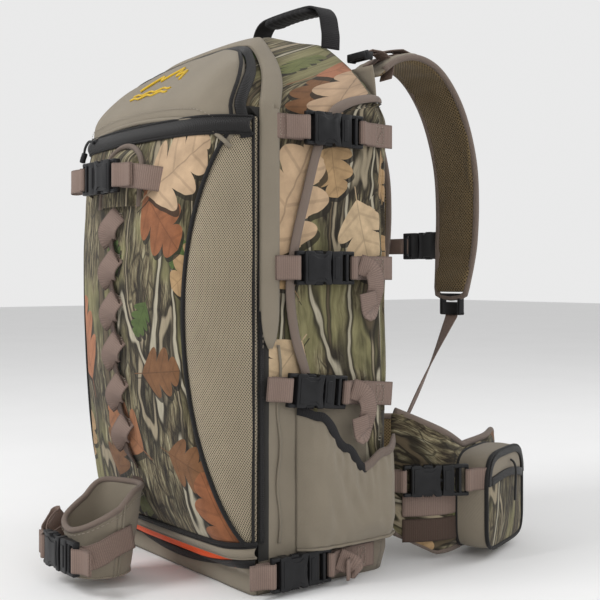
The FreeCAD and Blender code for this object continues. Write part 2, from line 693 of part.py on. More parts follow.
def pocket_solid(side):
    """A padded zip pocket on the wing's outer face, open along its top seam."""
    depth = size("hip_pocket_depth")
    length = size("hip_pocket_length")
    height = size("hip_pocket_height")
    case = Part.makeBox(length, height, depth, Vector(0, -height / 2, 0))
    case = case.makeFillet(14, [edge for edge in case.Edges if edge.CenterOfMass.z > 1])
    room = Part.makeBox(length - 8, height - 8, depth - 8, Vector(4, -height / 2 + 4, 4))
    room = room.makeFillet(9, [edge for edge in room.Edges if edge.CenterOfMass.z > 5])
    mouth_side = height / 2 - 6 if side > 0 else -height / 2 - 6
    mouth_cut = Part.makeBox(length - 30, 12, 12, Vector(15, mouth_side, 12))
    shell = case.cut(room).cut(mouth_cut)
    origin = (side * pocket_start.x, pocket_start.y, pocket_z)
    shell.Placement = facing(origin, (side * pocket_run.x, pocket_run.y, 0),
                             (side * pocket_out.x, pocket_out.y, 0))
    return shell


buckle_start = Vector(*WING_LINE[0], 0)
buckle_run = Vector(*WING_STEPS[1], 0).normalize()
buckle_out = Vector(buckle_run.y, -buckle_run.x, 0)
buckle_mouth = buckle_start + buckle_run * 52 + buckle_out * (size("wing_thickness") / 2 + 5.5)
hip_buckle_z = 92
CORD_DIAMETER = 2.6


def cord_tube(route, diameter):
    """A tube of straight runs joined by tangent arcs, each arc as large as its runs allow."""
    edges = []
    start = route[0]
    radii = []
    for before, corner, after in zip(route, route[1:], route[2:]):
        back = (before - corner).normalize()
        ahead = (after - corner).normalize()
        turn = math.pi - back.getAngle(ahead)
        reach = 0.45 * min((before - corner).Length, (after - corner).Length)
        radius = reach / math.tan(turn / 2)
        radii.append(radius)
        first = corner + back * reach
        last = corner + ahead * reach
        middle_way = (back + ahead).normalize()
        to_centre = math.hypot(radius, reach)
        middle = corner + middle_way * (to_centre - radius)
        edges.append(Part.LineSegment(start, first).toShape())
        edges.append(Part.Arc(first, middle, last).toShape())
        start = last
    edges.append(Part.LineSegment(start, route[-1]).toShape())
    path = Part.Wire(edges)
    heading = (route[1] - route[0]).normalize()
    ring = Part.Wire(Part.makeCircle(diameter / 2, route[0], heading))
    tube = path.makePipeShell([ring], True, False)
    share = tube.Volume / (math.pi * diameter ** 2 / 4 * path.Length)
    print("cord: length %.1f, radii %s, volume share %.3f"
          % (path.Length, " ".join("%.1f" % r for r in radii), share))
    return tube


# The pull cord hangs from the pocket's slider, as (along the pocket, out from it, height) points.
PULL_ROUTE = [(66, 41.4, 0), (66, 45.0, -1.5), (66.8, 47.4, -8), (67.6, 47.6, -17), (67.0, 47.2, -27),
              (65.6, 47.0, -37), (64.6, 47.2, -46)]

for side, name in ((1, "right"), (-1, "left")):
    wing = wing_solid(side)
    feature("hip_wing_" + name, wing)
    feature("hip_pocket_" + name, pocket_solid(side).cut(wing))
    place = facing((side * buckle_mouth.x, buckle_mouth.y, hip_buckle_z),
                   (side * buckle_run.x, buckle_run.y, 0), (side * buckle_out.x, buckle_out.y, 0))
    closed = combine("Part::MultiFuse", "hip_buckle_" + name,
                     socket("hip_socket_" + name, Placement()),
                     [tongue("hip_tongue_" + name, Placement())])
    closed.Placement = place
    keep(closed)
    cord_top = size("wing_low") + size("hip_pocket_height") - 12
    route = []
    for along, outward, height in PULL_ROUTE:
        point = pocket_corner + pocket_run * along + pocket_out * (outward + 7.5)
        route.append(Vector(side * point.x, point.y, cord_top + height))
    feature("pull_cord_" + name, cord_tube(route, CORD_DIAMETER))

# ---------------------------------------------------------------- check and write

doc.recompute()
failed = [item.Label for item in doc.Objects if "Invalid" in item.State or "Error" in item.State]
if failed:
    raise RuntimeError("failed objects: " + ", ".join(failed))
for label, node in nodes.items():
    if node.Shape.isNull() or not node.Shape.isValid():
        raise RuntimeError("bad shape: " + label)
os.makedirs("parts", exist_ok=True)
for label, node in nodes.items():
    node.Shape.exportStep("parts/%s.step" % label)
print("%d sub-parts" % len(nodes))
print("front hinge y %.2f; lid hinge y %.2f z %.2f" % (front_y(panel_low), hinge_y, hinge_z))
print("slider centre y %.2f radius %.2f z %.1f" % (track_y, track_radius, slider_z))
print("handle hinge y %.1f z %.1f" % (size("handle_y"), handle_z - foot + strap_w / 2))
print("cup hinge y %.2f z %.2f; cup centre y %.2f" % (hang_y, hang_z, cup_y))
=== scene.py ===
import json
import math

import bmesh
import bpy
from mathutils import Matrix, Vector, noise
from mathutils.bvhtree import BVHTree

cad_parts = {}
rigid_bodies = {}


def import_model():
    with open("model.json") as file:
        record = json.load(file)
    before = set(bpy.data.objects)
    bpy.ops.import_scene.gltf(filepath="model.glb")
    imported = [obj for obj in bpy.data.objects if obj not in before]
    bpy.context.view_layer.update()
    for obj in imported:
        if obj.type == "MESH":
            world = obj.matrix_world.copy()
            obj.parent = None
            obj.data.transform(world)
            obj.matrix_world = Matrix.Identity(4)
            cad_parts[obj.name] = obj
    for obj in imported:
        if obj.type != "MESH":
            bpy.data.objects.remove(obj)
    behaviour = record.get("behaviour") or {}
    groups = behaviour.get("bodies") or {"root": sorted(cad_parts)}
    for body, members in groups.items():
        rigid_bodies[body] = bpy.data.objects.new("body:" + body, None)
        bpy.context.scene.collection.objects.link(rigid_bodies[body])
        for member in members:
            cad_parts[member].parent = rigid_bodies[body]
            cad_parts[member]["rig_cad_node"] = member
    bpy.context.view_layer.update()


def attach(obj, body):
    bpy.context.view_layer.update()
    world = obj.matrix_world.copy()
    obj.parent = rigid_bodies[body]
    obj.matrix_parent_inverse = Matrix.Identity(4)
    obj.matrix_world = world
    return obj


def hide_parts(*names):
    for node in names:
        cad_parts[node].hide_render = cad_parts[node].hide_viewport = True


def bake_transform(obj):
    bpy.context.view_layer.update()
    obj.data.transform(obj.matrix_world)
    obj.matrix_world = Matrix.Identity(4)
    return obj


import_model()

MM = 0.001
scene = bpy.context.scene

# ================================================================ camera, light, floor

VIEW_AZIMUTH = math.radians(53)
RIGHT = Vector((math.cos(VIEW_AZIMUTH), math.sin(VIEW_AZIMUTH), 0))
AWAY = Vector((-math.sin(VIEW_AZIMUTH), math.cos(VIEW_AZIMUTH), 0))


def make_camera():
    data = bpy.data.cameras.new("camera")
    data.lens = 63.6
    data.sensor_width = 36
    data.shift_y = -0.042
    camera = bpy.data.objects.new("camera", data)
    scene.collection.objects.link(camera)
    camera.location = RIGHT * 0.060 - AWAY * 1.2 + Vector((0, 0, 0.315))
    camera.rotation_euler = (math.pi / 2, 0, VIEW_AZIMUTH)
    scene.camera = camera


def area_light(name, place, target, power, width):
    data = bpy.data.lights.new(name, "AREA")
    data.energy = power
    data.size = width
    lamp = bpy.data.objects.new(name, data)
    scene.collection.objects.link(lamp)
    lamp.location = place
    lamp.rotation_euler = (Vector(target) - Vector(place)).to_track_quat("-Z", "Y").to_euler()


def make_light():
    area_light("key", (-0.4, -1.9, 1.9), (0, 0, 0.3), 33, 0.9)
    area_light("fill", (2.2, -0.6, 1.1), (0, 0, 0.3), 11, 1.4)
    area_light("rim", (0.9, 1.9, 1.6), (0, 0, 0.35), 12, 1.0)
    world = bpy.data.worlds.new("studio")
    world.use_nodes = True
    world.node_tree.nodes["Background"].inputs[0].default_value = (1, 1, 1, 1)
    seen = world.node_tree.nodes.new("ShaderNodeLightPath").outputs["Is Camera Ray"]
    level = world.node_tree.nodes.new("ShaderNodeMapRange")
    level.inputs["To Min"].default_value = 0.66
    level.inputs["To Max"].default_value = 0.82
    world.node_tree.links.new(seen, level.inputs["Value"])
    world.node_tree.links.new(level.outputs[0], world.node_tree.nodes["Background"].inputs[1])
    scene.world = world
    scene.view_settings.view_transform = "Standard"


# ================================================================ material helpers

class Shader:
    """One node material: short calls that add nodes and link them."""

    def __init__(self, name, roughness=0.85, sheen=0.0, metallic=0.0):
        self.material = bpy.data.materials.new(name)
        self.material.use_nodes = True
        self.tree = self.material.node_tree
        self.bsdf = self.tree.nodes["Principled BSDF"]
        self.bsdf.inputs["Roughness"].default_value = roughness
        self.bsdf.inputs["Metallic"].default_value = metallic
        self.bsdf.inputs["Sheen Weight"].default_value = sheen
        self.bsdf.inputs["Sheen Roughness"].default_value = 0.5
        self.bsdf.inputs["Specular IOR Level"].default_value = 0.22

    def add(self, kind, inputs=None, **settings):
        node = self.tree.nodes.new("ShaderNode" + kind)
        for key, value in settings.items():
            setattr(node, key, value)
        for key, value in (inputs or {}).items():
            self.put(node.inputs[key], value)
        return node

    def put(self, socket, value):
        if isinstance(value, bpy.types.NodeSocket):
            self.tree.links.new(value, socket)
        elif isinstance(value, (tuple, list)) and len(value) == 3 and socket.type == "RGBA":
            socket.default_value = (*value, 1)
        else:
            socket.default_value = value

    def math(self, operation, first, second=0.0, third=0.0, clamp=False):
        node = self.add("Math", {0: first, 1: second, 2: third}, operation=operation, use_clamp=clamp)
        return node.outputs[0]

    def vector(self, operation, first, second=(0, 0, 0)):
        return self.add("VectorMath", {0: first, 1: second}, operation=operation).outputs[0]

    def uv(self):
        return self.add("UVMap", uv_map="flat").outputs[0]

    def scaled(self, source, scale, turn=0.0, shift=(0, 0, 0)):
        node = self.add("Mapping", {"Vector": source, "Location": shift, "Rotation": (0, 0, turn),
                                    "Scale": scale})
        return node.outputs[0]

    def noise(self, source, scale, detail=4.0, rough=0.55, distortion=0.0):
        return self.add("TexNoise", {"Vector": source, "Scale": scale, "Detail": detail,
                                     "Roughness": rough, "Distortion": distortion}).outputs[0]

    def step(self, value, low, high):
        """0 below low, 1 above high, smooth between."""
        node = self.add("MapRange", {"Value": value, "From Min": low, "From Max": high},
                        interpolation_type="SMOOTHSTEP")
        return node.outputs[0]

    def mix(self, share, first, second):
        node = self.add("Mix", data_type="RGBA")
        self.put(node.inputs[0], share)
        self.put(node.inputs[6], first)
        self.put(node.inputs[7], second)
        return node.outputs[2]

    def shade(self, color, amount):
        """Multiplies a colour by a number."""
        return self.add("VectorMath", {0: color, 3: amount}, operation="SCALE").outputs[0]

    def finish(self, color, height=None, distance=0.0004, strength=1.0):
        self.put(self.bsdf.inputs["Base Color"], color)
        if height is not None:
            bump = self.add("Bump", {"Height": height, "Distance": distance, "Strength": strength})
            self.put(self.bsdf.inputs["Normal"], bump.outputs[0])
        return self.material


def weave(shader, source, pitch, turn=0.0):
    """A plain weave's height, 0 to 1, with the given thread pitch in metres."""
    turned = shader.add("VectorRotate", {"Vector": source, "Angle": turn}, rotation_type="Z_AXIS")
    parts = shader.add("SeparateXYZ", {0: turned.outputs[0]})
    across = shader.math("SINE", shader.math("MULTIPLY", parts.outputs[0], math.tau / pitch))
    along = shader.math("SINE", shader.math("MULTIPLY", parts.outputs[1], math.tau / pitch))
    return shader.math("MULTIPLY_ADD", shader.math("MULTIPLY", across, along), 0.5, 0.5)


def plain_cloth(name, color, pitch=1.3 * MM, mottle=0.12, roughness=0.82, sheen=0.12):
    """Plain woven pack cloth: a fine weave and soft random mottling, slightly paler on the high spots. The
    same heights drive the bump, so this is painted light on the raised spots and painted shade in the
    weave's valleys.
    """
    shader = Shader(name, roughness, sheen)
    uv = shader.uv()
    threads = weave(shader, uv, pitch, 0.5)
    cloud = shader.noise(uv, 28, 5)
    fine = shader.noise(uv, 900, 2)
    # tone: random mottle and speckle, times the weave's height: painted light where the bump rises and
    # painted shade in the weave's valleys
    tone = shader.math("MULTIPLY_ADD", cloud, 2 * mottle, 1 - mottle)
    tone = shader.math("MULTIPLY", tone, shader.math("MULTIPLY_ADD", threads, 0.14, 0.90))
    tone = shader.math("MULTIPLY", tone, shader.math("MULTIPLY_ADD", fine, 0.16, 0.92))
    height = shader.math("ADD", threads, shader.math("MULTIPLY", cloud, 1.5))
    return shader.finish(shader.shade(color, tone), height, 0.00035, 0.7)


def open_mesh(name, thread, hole, pitch, roughness=0.75, knit=0.5):
    """Knitted mesh: rows of small round holes set on a diagonal grid; the holes take a dark colour as
    painted shade of the depth behind them.
    """
    shader = Shader(name, roughness, 0.1)
    uv = shader.uv()
    turned = shader.add("VectorRotate", {"Vector": uv, "Angle": math.pi / 4}, rotation_type="Z_AXIS")
    parts = shader.add("SeparateXYZ", {0: turned.outputs[0]})
    across = shader.math("ABSOLUTE", shader.math("SINE", shader.math("MULTIPLY", parts.outputs[0],
                                                                     math.pi / pitch)))
    along = shader.math("ABSOLUTE", shader.math("SINE", shader.math("MULTIPLY", parts.outputs[1],
                                                                    math.pi / pitch)))
    depth = shader.math("MULTIPLY", across, along)
    holes = shader.step(depth, knit, knit + 0.22)
    cloud = shader.noise(uv, 22, 4)
    tone = shader.math("MULTIPLY_ADD", cloud, 0.3, 0.85)
    # hole: the dark colour of the holes, painted shade where the bump sinks
    color = shader.shade(shader.mix(holes, thread, hole), tone)
    return shader.finish(color, shader.math("SUBTRACT", 1.0, depth), 0.0006, 0.9)


def webbing(name, color, edge_shade=0.75, roughness=0.7):
    """Ribbed webbing: V across the strap in strap widths, U along it in metres."""
    shader = Shader(name, roughness, 0.05)
    uv = shader.uv()
    parts = shader.add("SeparateXYZ", {0: uv})
    ribs = shader.math("SINE", shader.math("MULTIPLY", parts.outputs[0], math.tau / (2.1 * MM)))
    slant = shader.math("ADD", shader.math("MULTIPLY", parts.outputs[0], math.tau / (1.3 * MM)),
                        shader.math("MULTIPLY", parts.outputs[1], 46.0))
    twill = shader.math("SINE", slant)
    # rib drives both the bump and the tone: rib tops painted paler and valleys darker, as painted shade
    rib = shader.math("MULTIPLY_ADD", ribs, 0.35, shader.math("MULTIPLY_ADD", twill, 0.22, 0.5))
    off_middle = shader.math("ABSOLUTE", shader.math("SUBTRACT", parts.outputs[1], 0.5))
    # edge: painted shade along the strap's rolled edges
    edge = shader.step(off_middle, 0.40, 0.5)
    wear = shader.noise(uv, 60, 4)
    tone = shader.math("MULTIPLY_ADD", rib, 0.34, 0.78)
    tone = shader.math("MULTIPLY", tone, shader.math("MULTIPLY_ADD", edge, edge_shade - 1.0, 1.0))
    tone = shader.math("MULTIPLY", tone, shader.math("MULTIPLY_ADD", wear, 0.3, 0.85))
    return shader.finish(shader.shade(color, tone), rib, 0.0005, 0.8)


def floor_paper():
    """Matt white backdrop paper with a barely visible mottle."""
    shader = Shader("backdrop_paper", 0.9)
    cloud = shader.noise(shader.uv(), 3.0, 3)
    return shader.finish(shader.shade((0.90, 0.90, 0.90), shader.math("MULTIPLY_ADD", cloud, 0.05, 0.95)))


def moulded(name, color=(0.012, 0.012, 0.013), roughness=0.36):
    """Moulded plastic with a fine grain and faint handling marks."""
    shader = Shader(name, roughness)
    source = shader.add("TexCoord").outputs["Object"]
    grain = shader.noise(source, 2600, 2)
    marks = shader.noise(source, 90, 5)
    tone = shader.math("MULTIPLY_ADD", marks, 1.0, 0.6)
    shader.put(shader.bsdf.inputs["Roughness"], shader.math("MULTIPLY_ADD", marks, 0.25, roughness - 0.1))
    return shader.finish(shader.shade(color, tone), grain, 0.00006, 0.5)


def leaf_group():
    """A lobed leaf in a unit frame: X runs 0 to 1 along its rib, Y across.  Gives mask and veins."""
    tree = bpy.data.node_groups.new("lobed_leaf", "ShaderNodeTree")
    tree.interface.new_socket("Point", in_out="INPUT", socket_type="NodeSocketVector")
    tree.interface.new_socket("Lobes", in_out="INPUT", socket_type="NodeSocketFloat")
    for label in ("Mask", "Vein"):
        tree.interface.new_socket(label, in_out="OUTPUT", socket_type="NodeSocketFloat")
    made = Shader.__new__(Shader)
    made.tree = tree
    source = tree.nodes.new("NodeGroupInput")
    sink = tree.nodes.new("NodeGroupOutput")
    parts = made.add("SeparateXYZ", {0: source.outputs[0]})
    run = parts.outputs[0]
    off = made.math("ABSOLUTE", parts.outputs[1])
    swept = made.math("MULTIPLY_ADD", off, -0.55, run)
    inside = made.math("MULTIPLY", run, made.math("SUBTRACT", 1.0, run))
    envelope = made.math("POWER", made.math("MAXIMUM", made.math("MULTIPLY", inside, 4.0), 0.0), 0.6)
    wave = made.math("ABSOLUTE", made.math("SINE", made.math("MULTIPLY", swept, source.outputs[1])))
    lobes = made.math("MULTIPLY_ADD", made.math("POWER", wave, 0.6), 0.60, 0.36)
    width = made.math("MULTIPLY", made.math("MULTIPLY", envelope, lobes), 0.42)
    mask = made.step(made.math("SUBTRACT", width, off), 0.0, 0.008)
    rib = made.math("SUBTRACT", 1.0, made.step(off, 0.004, 0.012))
    side_veins = made.step(wave, 0.975, 0.998)
    stalk = made.math("MULTIPLY", made.math("SUBTRACT", 1.0, made.step(off, 0.006, 0.010)),
                      made.step(run, -0.22, -0.20))
    stalk = made.math("MULTIPLY", stalk, made.math("SUBTRACT", 1.0, made.step(run, 0.05, 0.06)))
    tree.links.new(made.math("MAXIMUM", mask, stalk), sink.inputs[0])
    tree.links.new(made.math("MAXIMUM", rib, made.math("MULTIPLY", side_veins, 0.6)), sink.inputs[1])
    return tree


LEAF = leaf_group()


def leaf(shader, point, lobes):
    node = shader.add("Group")
    node.node_tree = LEAF
    shader.put(node.inputs[0], point)
    node.inputs[1].default_value = lobes
    return node.outputs[0], node.outputs[1]


def scattered(shader, uv, cells, length, lobes, seed):
    """One leaf in each cell of a loose grid, turned its own way: mask, veins and a random number."""
    shifted = shader.vector("ADD", uv, (seed * 1.37, seed * 0.71, 0))
    cell = shader.add("TexVoronoi", {"Vector": shifted, "Scale": cells, "Randomness": 0.75},
                      voronoi_dimensions="2D")
    offset = shader.vector("SUBTRACT", shifted, cell.outputs["Position"])
    chance = shader.add("SeparateColor", {0: cell.outputs["Color"]})
    angle = shader.math("MULTIPLY", chance.outputs[0], math.tau)
    turned = shader.add("VectorRotate", {"Vector": offset, "Angle": angle}, rotation_type="Z_AXIS")
    local = shader.scaled(turned.outputs[0], (1 / length, 1 / length, 1), 0, (0.5, 0, 0))
    mask, vein = leaf(shader, local, lobes)
    return mask, vein, chance.outputs[1], chance.outputs[2]


def camouflage(name, leaves=(), roughness=0.86):
    """A printed woodland pattern: upright bark, crossing twigs, scattered and placed leaves."""
    shader = Shader(name, roughness, 0.1)
    uv = shader.uv()
    warp = shader.noise(uv, 9, 3)
    bent = shader.vector("ADD", uv, shader.shade(shader.add("CombineXYZ", {0: warp, 1: warp}).outputs[0],
                                                 0.035))
    # bark: fine upright fibres and plates, split by dark cracks, over broad light and dark patches
    upright = shader.scaled(bent, (1.0, 0.13, 1))
    plates = shader.noise(upright, 210, 7, 0.68)
    broad = shader.noise(shader.scaled(bent, (1.0, 0.45, 1)), 17, 4)
    patch = shader.noise(shader.scaled(bent, (1.0, 0.6, 1), 0.4, (2.3, 4.1, 0)), 11, 3)
    chips = shader.add("TexVoronoi", {"Vector": shader.scaled(bent, (1.0, 0.28, 1), 0.15), "Scale": 120.0},
                       voronoi_dimensions="2D", feature="DISTANCE_TO_EDGE").outputs["Distance"]
    ramp = shader.add("ValToRGB", {0: plates})
    stops = [(0.36, (0.016, 0.012, 0.008)), (0.44, (0.062, 0.047, 0.028)), (0.52, (0.165, 0.135, 0.078)),
             (0.60, (0.300, 0.262, 0.160)), (0.70, (0.52, 0.48, 0.34))]
    for spot, (position, color) in enumerate(stops):
        point = ramp.color_ramp.elements[spot] if spot < 2 else ramp.color_ramp.elements.new(position)
        point.position = position
        point.color = (*color, 1)
    soft = shader.mix(shader.math("MULTIPLY_ADD", plates, 1.6, -0.4, clamp=True), (0.105, 0.095, 0.040),
                      (0.330, 0.300, 0.155))
    bark = shader.mix(shader.step(patch, 0.50, 0.60), ramp.outputs[0], soft)
    bark = shader.mix(shader.math("MULTIPLY", shader.step(broad, 0.50, 0.38), 0.8), bark,
                      shader.shade(bark, 0.28))
    crack = shader.math("SUBTRACT", 1.0, shader.step(chips, 0.02, 0.10))
    crack = shader.math("MULTIPLY", crack, shader.step(patch, 0.56, 0.50))
    bark = shader.mix(shader.math("MULTIPLY", crack, 0.72), bark, (0.016, 0.012, 0.008))
    # twigs: thin wandering lines with a dark underside
    twigs = ((0.5, 8.0, 0.0, (0.30, 0.25, 0.17)), (-0.75, 7.0, 3.1, (0.10, 0.075, 0.045)),
             (1.25, 6.0, 7.7, (0.40, 0.36, 0.27)))
    color = bark
    for turn, scale, shift, tint in twigs:
        stretched = shader.scaled(bent, (1.0, 0.22, 1), turn, (shift, shift * 0.3, 0))
        field = shader.noise(stretched, scale, 3, 0.5)
        ridge = shader.math("ABSOLUTE", shader.math("SUBTRACT", field, 0.5))
        under = shader.math("SUBTRACT", 1.0, shader.step(ridge, 0.010, 0.024))
        core = shader.math("SUBTRACT", 1.0, shader.step(ridge, 0.004, 0.009))
        grain = shader.math("MULTIPLY_ADD", plates, 1.3, 0.3)
        color = shader.mix(shader.math("MULTIPLY", under, 0.85), color, (0.018, 0.014, 0.009))
        color = shader.mix(core, color, shader.shade(tint, grain))
    # scattered leaves in three tints, each with a shadow behind it
    layers = ((15.0, 0.040, 12.5, 1.0, 0.16, (0.070, 0.105, 0.030), (0.13, 0.14, 0.05)),
              (10.5, 0.066, 9.5, 5.0, 0.30, (0.36, 0.235, 0.12), (0.17, 0.080, 0.035)),
              (7.5, 0.088, 9.5, 9.0, 0.30, (0.50, 0.37, 0.23), (0.24, 0.092, 0.040)))
    for cells, length, lobes, seed, share, first, second in layers:
        mask, vein, odds, tint = scattered(shader, uv, cells, length, lobes, seed)
        shadow = scattered(shader, shader.vector("ADD", uv, (-0.003, 0.0045, 0)), cells, length, lobes,
                           seed)
        chosen = shader.step(odds, 1 - share, 1 - share + 0.02)
        behind = shader.math("MULTIPLY", shadow[0], shader.step(shadow[2], 1 - share, 1 - share + 0.02))
        color = shader.mix(shader.math("MULTIPLY", behind, 0.85), color, (0.014, 0.011, 0.008))
        tone = shader.mix(shader.step(tint, 0.4, 0.6), first, second)
        tone = shader.shade(tone, shader.math("MULTIPLY_ADD", shader.noise(uv, 70, 5), 1.1, 0.45))
        tone = shader.mix(shader.math("MULTIPLY", vein, 0.5), tone, shader.shade(tone, 0.45))
        color = shader.mix(shader.math("MULTIPLY", mask, chosen), color, tone)
    # large leaves where the print shows them
    for across, up, angle, length, tint in leaves:
        for depth, drop in ((0, (0.004, -0.006)), (1, (0, 0))):
            local = shader.vector("SUBTRACT", uv, (across + drop[0], up + drop[1], 0))
            local = shader.add("VectorRotate", {"Vector": local, "Angle": -angle},
                               rotation_type="Z_AXIS").outputs[0]
            ripple = shader.noise(uv, 30, 2)
            local = shader.vector("ADD", shader.scaled(local, (1 / length, 1 / length, 1)),
                                  shader.add("CombineXYZ", {1: shader.math("MULTIPLY_ADD", ripple, 0.10,
                                                                           -0.05)}).outputs[0])
            mask, vein = leaf(shader, local, 10.5)
            if depth == 0:
                color = shader.mix(shader.math("MULTIPLY", mask, 0.85), color, (0.02, 0.016, 0.01))
            else:
                patchy = shader.math("MULTIPLY_ADD", shader.noise(uv, 45, 5), 0.9, 0.55)
                tone = shader.shade(tint, patchy)
                tone = shader.mix(shader.math("MULTIPLY", vein, 0.55), tone, shader.shade(tone, 0.4))
                color = shader.mix(mask, color, tone)
    # fine weave and speckle: the same heights drive the bump, so the weave's valleys are painted darker, as
    # painted shade
    threads = weave(shader, uv, 1.0 * MM, 0.3)
    fine = shader.noise(uv, 1200, 2)
    tone = shader.math("MULTIPLY", shader.math("MULTIPLY_ADD", threads, 0.10, 0.95),
                       shader.math("MULTIPLY_ADD", fine, 0.2, 0.9))
    height = shader.math("ADD", threads, shader.math("MULTIPLY", fine, 0.6))
    return shader.finish(shader.shade(color, tone), height, 0.00025, 0.6)


TAUPE = (0.240, 0.205, 0.155)
BROWN = (0.225, 0.160, 0.132)
mats = {}


def make_materials():
    # large printed leaves: place on the rolled-out bag, angle, length and tint
    placed = [(0.235, 0.330, 1.25, 0.125, (0.50, 0.35, 0.22)),
              (0.215, 0.525, 0.95, 0.10, (0.36, 0.15, 0.08)),
              (0.055, 0.395, 0.5, 0.105, (0.47, 0.33, 0.21)),
              (-0.085, 0.200, 1.9, 0.10, (0.36, 0.15, 0.075)),
              (0.300, 0.480, 2.2, 0.09, (0.45, 0.31, 0.20)), (0.028, 0.135, 2.6, 0.08, (0.30, 0.13, 0.06)),
              (-0.300, 0.380, 1.6, 0.12, (0.48, 0.34, 0.22)),
              (-0.230, 0.210, 0.7, 0.10, (0.36, 0.15, 0.08))]
    mats["camo"] = camouflage("camo_print", placed)
    mats["camo_plain"] = camouflage("camo_print_belt")
    mats["taupe"] = plain_cloth("taupe_cloth", TAUPE)
    mats["base"] = plain_cloth("base_cloth", (0.20, 0.168, 0.128), 1.6 * MM)
    mats["lining"] = plain_cloth("dark_lining", (0.035, 0.033, 0.030), 1.1 * MM)
    mats["binding"] = plain_cloth("binding_tape", (0.190, 0.145, 0.118), 0.9 * MM, 0.08)
    mats["piping"] = plain_cloth("black_piping", (0.012, 0.011, 0.011), 0.8 * MM, 0.1, 0.6, 0.05)
    mats["orange"] = plain_cloth("blaze_nylon", (0.92, 0.10, 0.012), 0.8 * MM, 0.08, 0.5, 0.05)
    mats["mesh"] = open_mesh("tan_mesh", (0.40, 0.335, 0.235), (0.035, 0.028, 0.020), 2.3 * MM, 0.75, 0.42)
    mats["pad_mesh"] = open_mesh("pad_mesh", (0.185, 0.132, 0.066), (0.045, 0.031, 0.015), 2.9 * MM,
                                 0.85, 0.45)
    mats["webbing"] = webbing("brown_webbing", BROWN)
    # painted shade: a darker copy of the brown webbing, for runs of strap that turn away from the light or
    # lie in shade
    mats["painted_shade_webbing"] = webbing("painted_shade_brown_webbing", (0.075, 0.048, 0.036))
    mats["black_webbing"] = webbing("black_webbing", (0.016, 0.015, 0.016))
    mats["plastic"] = moulded("buckle_plastic")
    mats["zip"] = webbing("zip_tape", (0.014, 0.013, 0.013), 0.9, 0.45)
    mats["thread"] = plain_cloth("sewing_thread", (0.36, 0.31, 0.25), 0.4 * MM, 0.05, 0.6)
    mats["yellow"] = plain_cloth("yellow_thread", (0.80, 0.52, 0.03), 0.5 * MM, 0.05, 0.5)
    mats["cord"] = plain_cloth("black_cord", (0.02, 0.02, 0.02), 0.7 * MM, 0.1, 0.6)
    mats["metal"] = moulded("bare_aluminium", (0.62, 0.62, 0.63), 0.35)
    mats["metal"].node_tree.nodes["Principled BSDF"].inputs["Metallic"].default_value = 1.0


# ================================================================ the bag's form, in metres

HALF_WIDTH = 0.145
BAG_TOP = 0.572
BACK_Y = 0.095
SEAM_Y = -0.085
LID_Z = 0.478
CROWN_RISE = 0.094
BELLY = 0.077
BELLY_Z = 0.330
PANEL_LOW = 0.0525
PANEL_HIGH = 0.469


def crown_share(height):
    return max(0.0, (height - LID_Z) / CROWN_RISE) ** 1.4


def bulge(height):
    reach = 0.204 if height > BELLY_Z else 0.308
    return BELLY * math.sqrt(max(0.0, 1 - ((height - BELLY_Z) / reach) ** 2))


def front_y(height):
    if height <= LID_Z:
        return SEAM_Y - max(0.002, bulge(height))
    sill = SEAM_Y - bulge(LID_Z)
    return sill + (-0.015 - sill) * crown_share(height)


def half_at(height):
    rounding = 0.007 * max(0.0, 1 - height / 0.022)
    return HALF_WIDTH - (HALF_WIDTH - 0.060) * crown_share(height) - rounding


def back_at(height):
    return BACK_Y - 0.015 * crown_share(height) ** 2


def seam_at(height):
    return max(SEAM_Y, front_y(height) + 0.006)


def arc(center, radius, first, last, count):
    return [(center[0] + radius * math.cos(first + (last - first) * k / count),
             center[1] + radius * math.sin(first + (last - first) * k / count)) for k in range(count)]


def half_plan(height, grow=0.0):
    """The +X half of the outline from the front's middle to the back's, and its length to the seam."""
    half = half_at(height) + grow
    front = front_y(height) - grow
    back = back_at(height) + grow
    seam = seam_at(height)
    corner = 0.028 + grow
    depth = seam - front
    tight = 0.88 * (depth - grow) + grow
    tight_x = half - tight
    shallow = (tight_x ** 2 + depth ** 2 - tight ** 2) / (2 * (depth - tight))
    turn = math.atan2(shallow - depth, tight_x)
    center = front + shallow
    points = arc((0, center), shallow, -math.pi / 2, -turn, 14)
    points += arc((tight_x, seam), tight, -turn, 0, 14)
    seam_index = len(points)
    side_end = back - corner
    points += [(half, seam + (side_end - seam) * k / 12) for k in range(12)]
    points += arc((half - corner, side_end), corner, 0, math.pi / 2, 10)
    points += [((half - corner) * (1 - k / 8), back) for k in range(9)]
    return points, seam_index


def along(points, distance):
    """The point at a distance along a polyline."""
    for first, second in zip(points, points[1:]):
        step = math.hypot(second[0] - first[0], second[1] - first[1])
        if distance <= step:
            share = max(0.0, distance / step)
            return (first[0] + (second[0] - first[0]) * share, first[1] + (second[1] - first[1]) * share)
        distance -= step
    return points[-1]


def length_of(points):
    return sum(math.dist(a, b) for a, b in zip(points, points[1:]))


def flat_uv(point):
    """Print coordinates in metres: the outline is rolled out from the front's middle."""
    height = min(max(point.z, 0.0), BAG_TOP)
    reach = abs(point.x) + max(0.0, point.y - front_y(height))
    if point.y > BACK_Y - 0.02:
        reach = HALF_WIDTH + BACK_Y - SEAM_Y + 0.09 + (HALF_WIDTH - abs(point.x))
    return (math.copysign(reach, point.x), point.z)


def rumple(point, amount, scale=11.0, seed=0.0):
    """Low, slow folds of cloth as a height."""
    spot = Vector((point.x * scale, point.y * scale, point.z * scale * 0.8 + seed))
    return amount * (noise.noise(spot) + 0.45 * noise.noise(spot * 2.3))


# ================================================================ mesh helpers

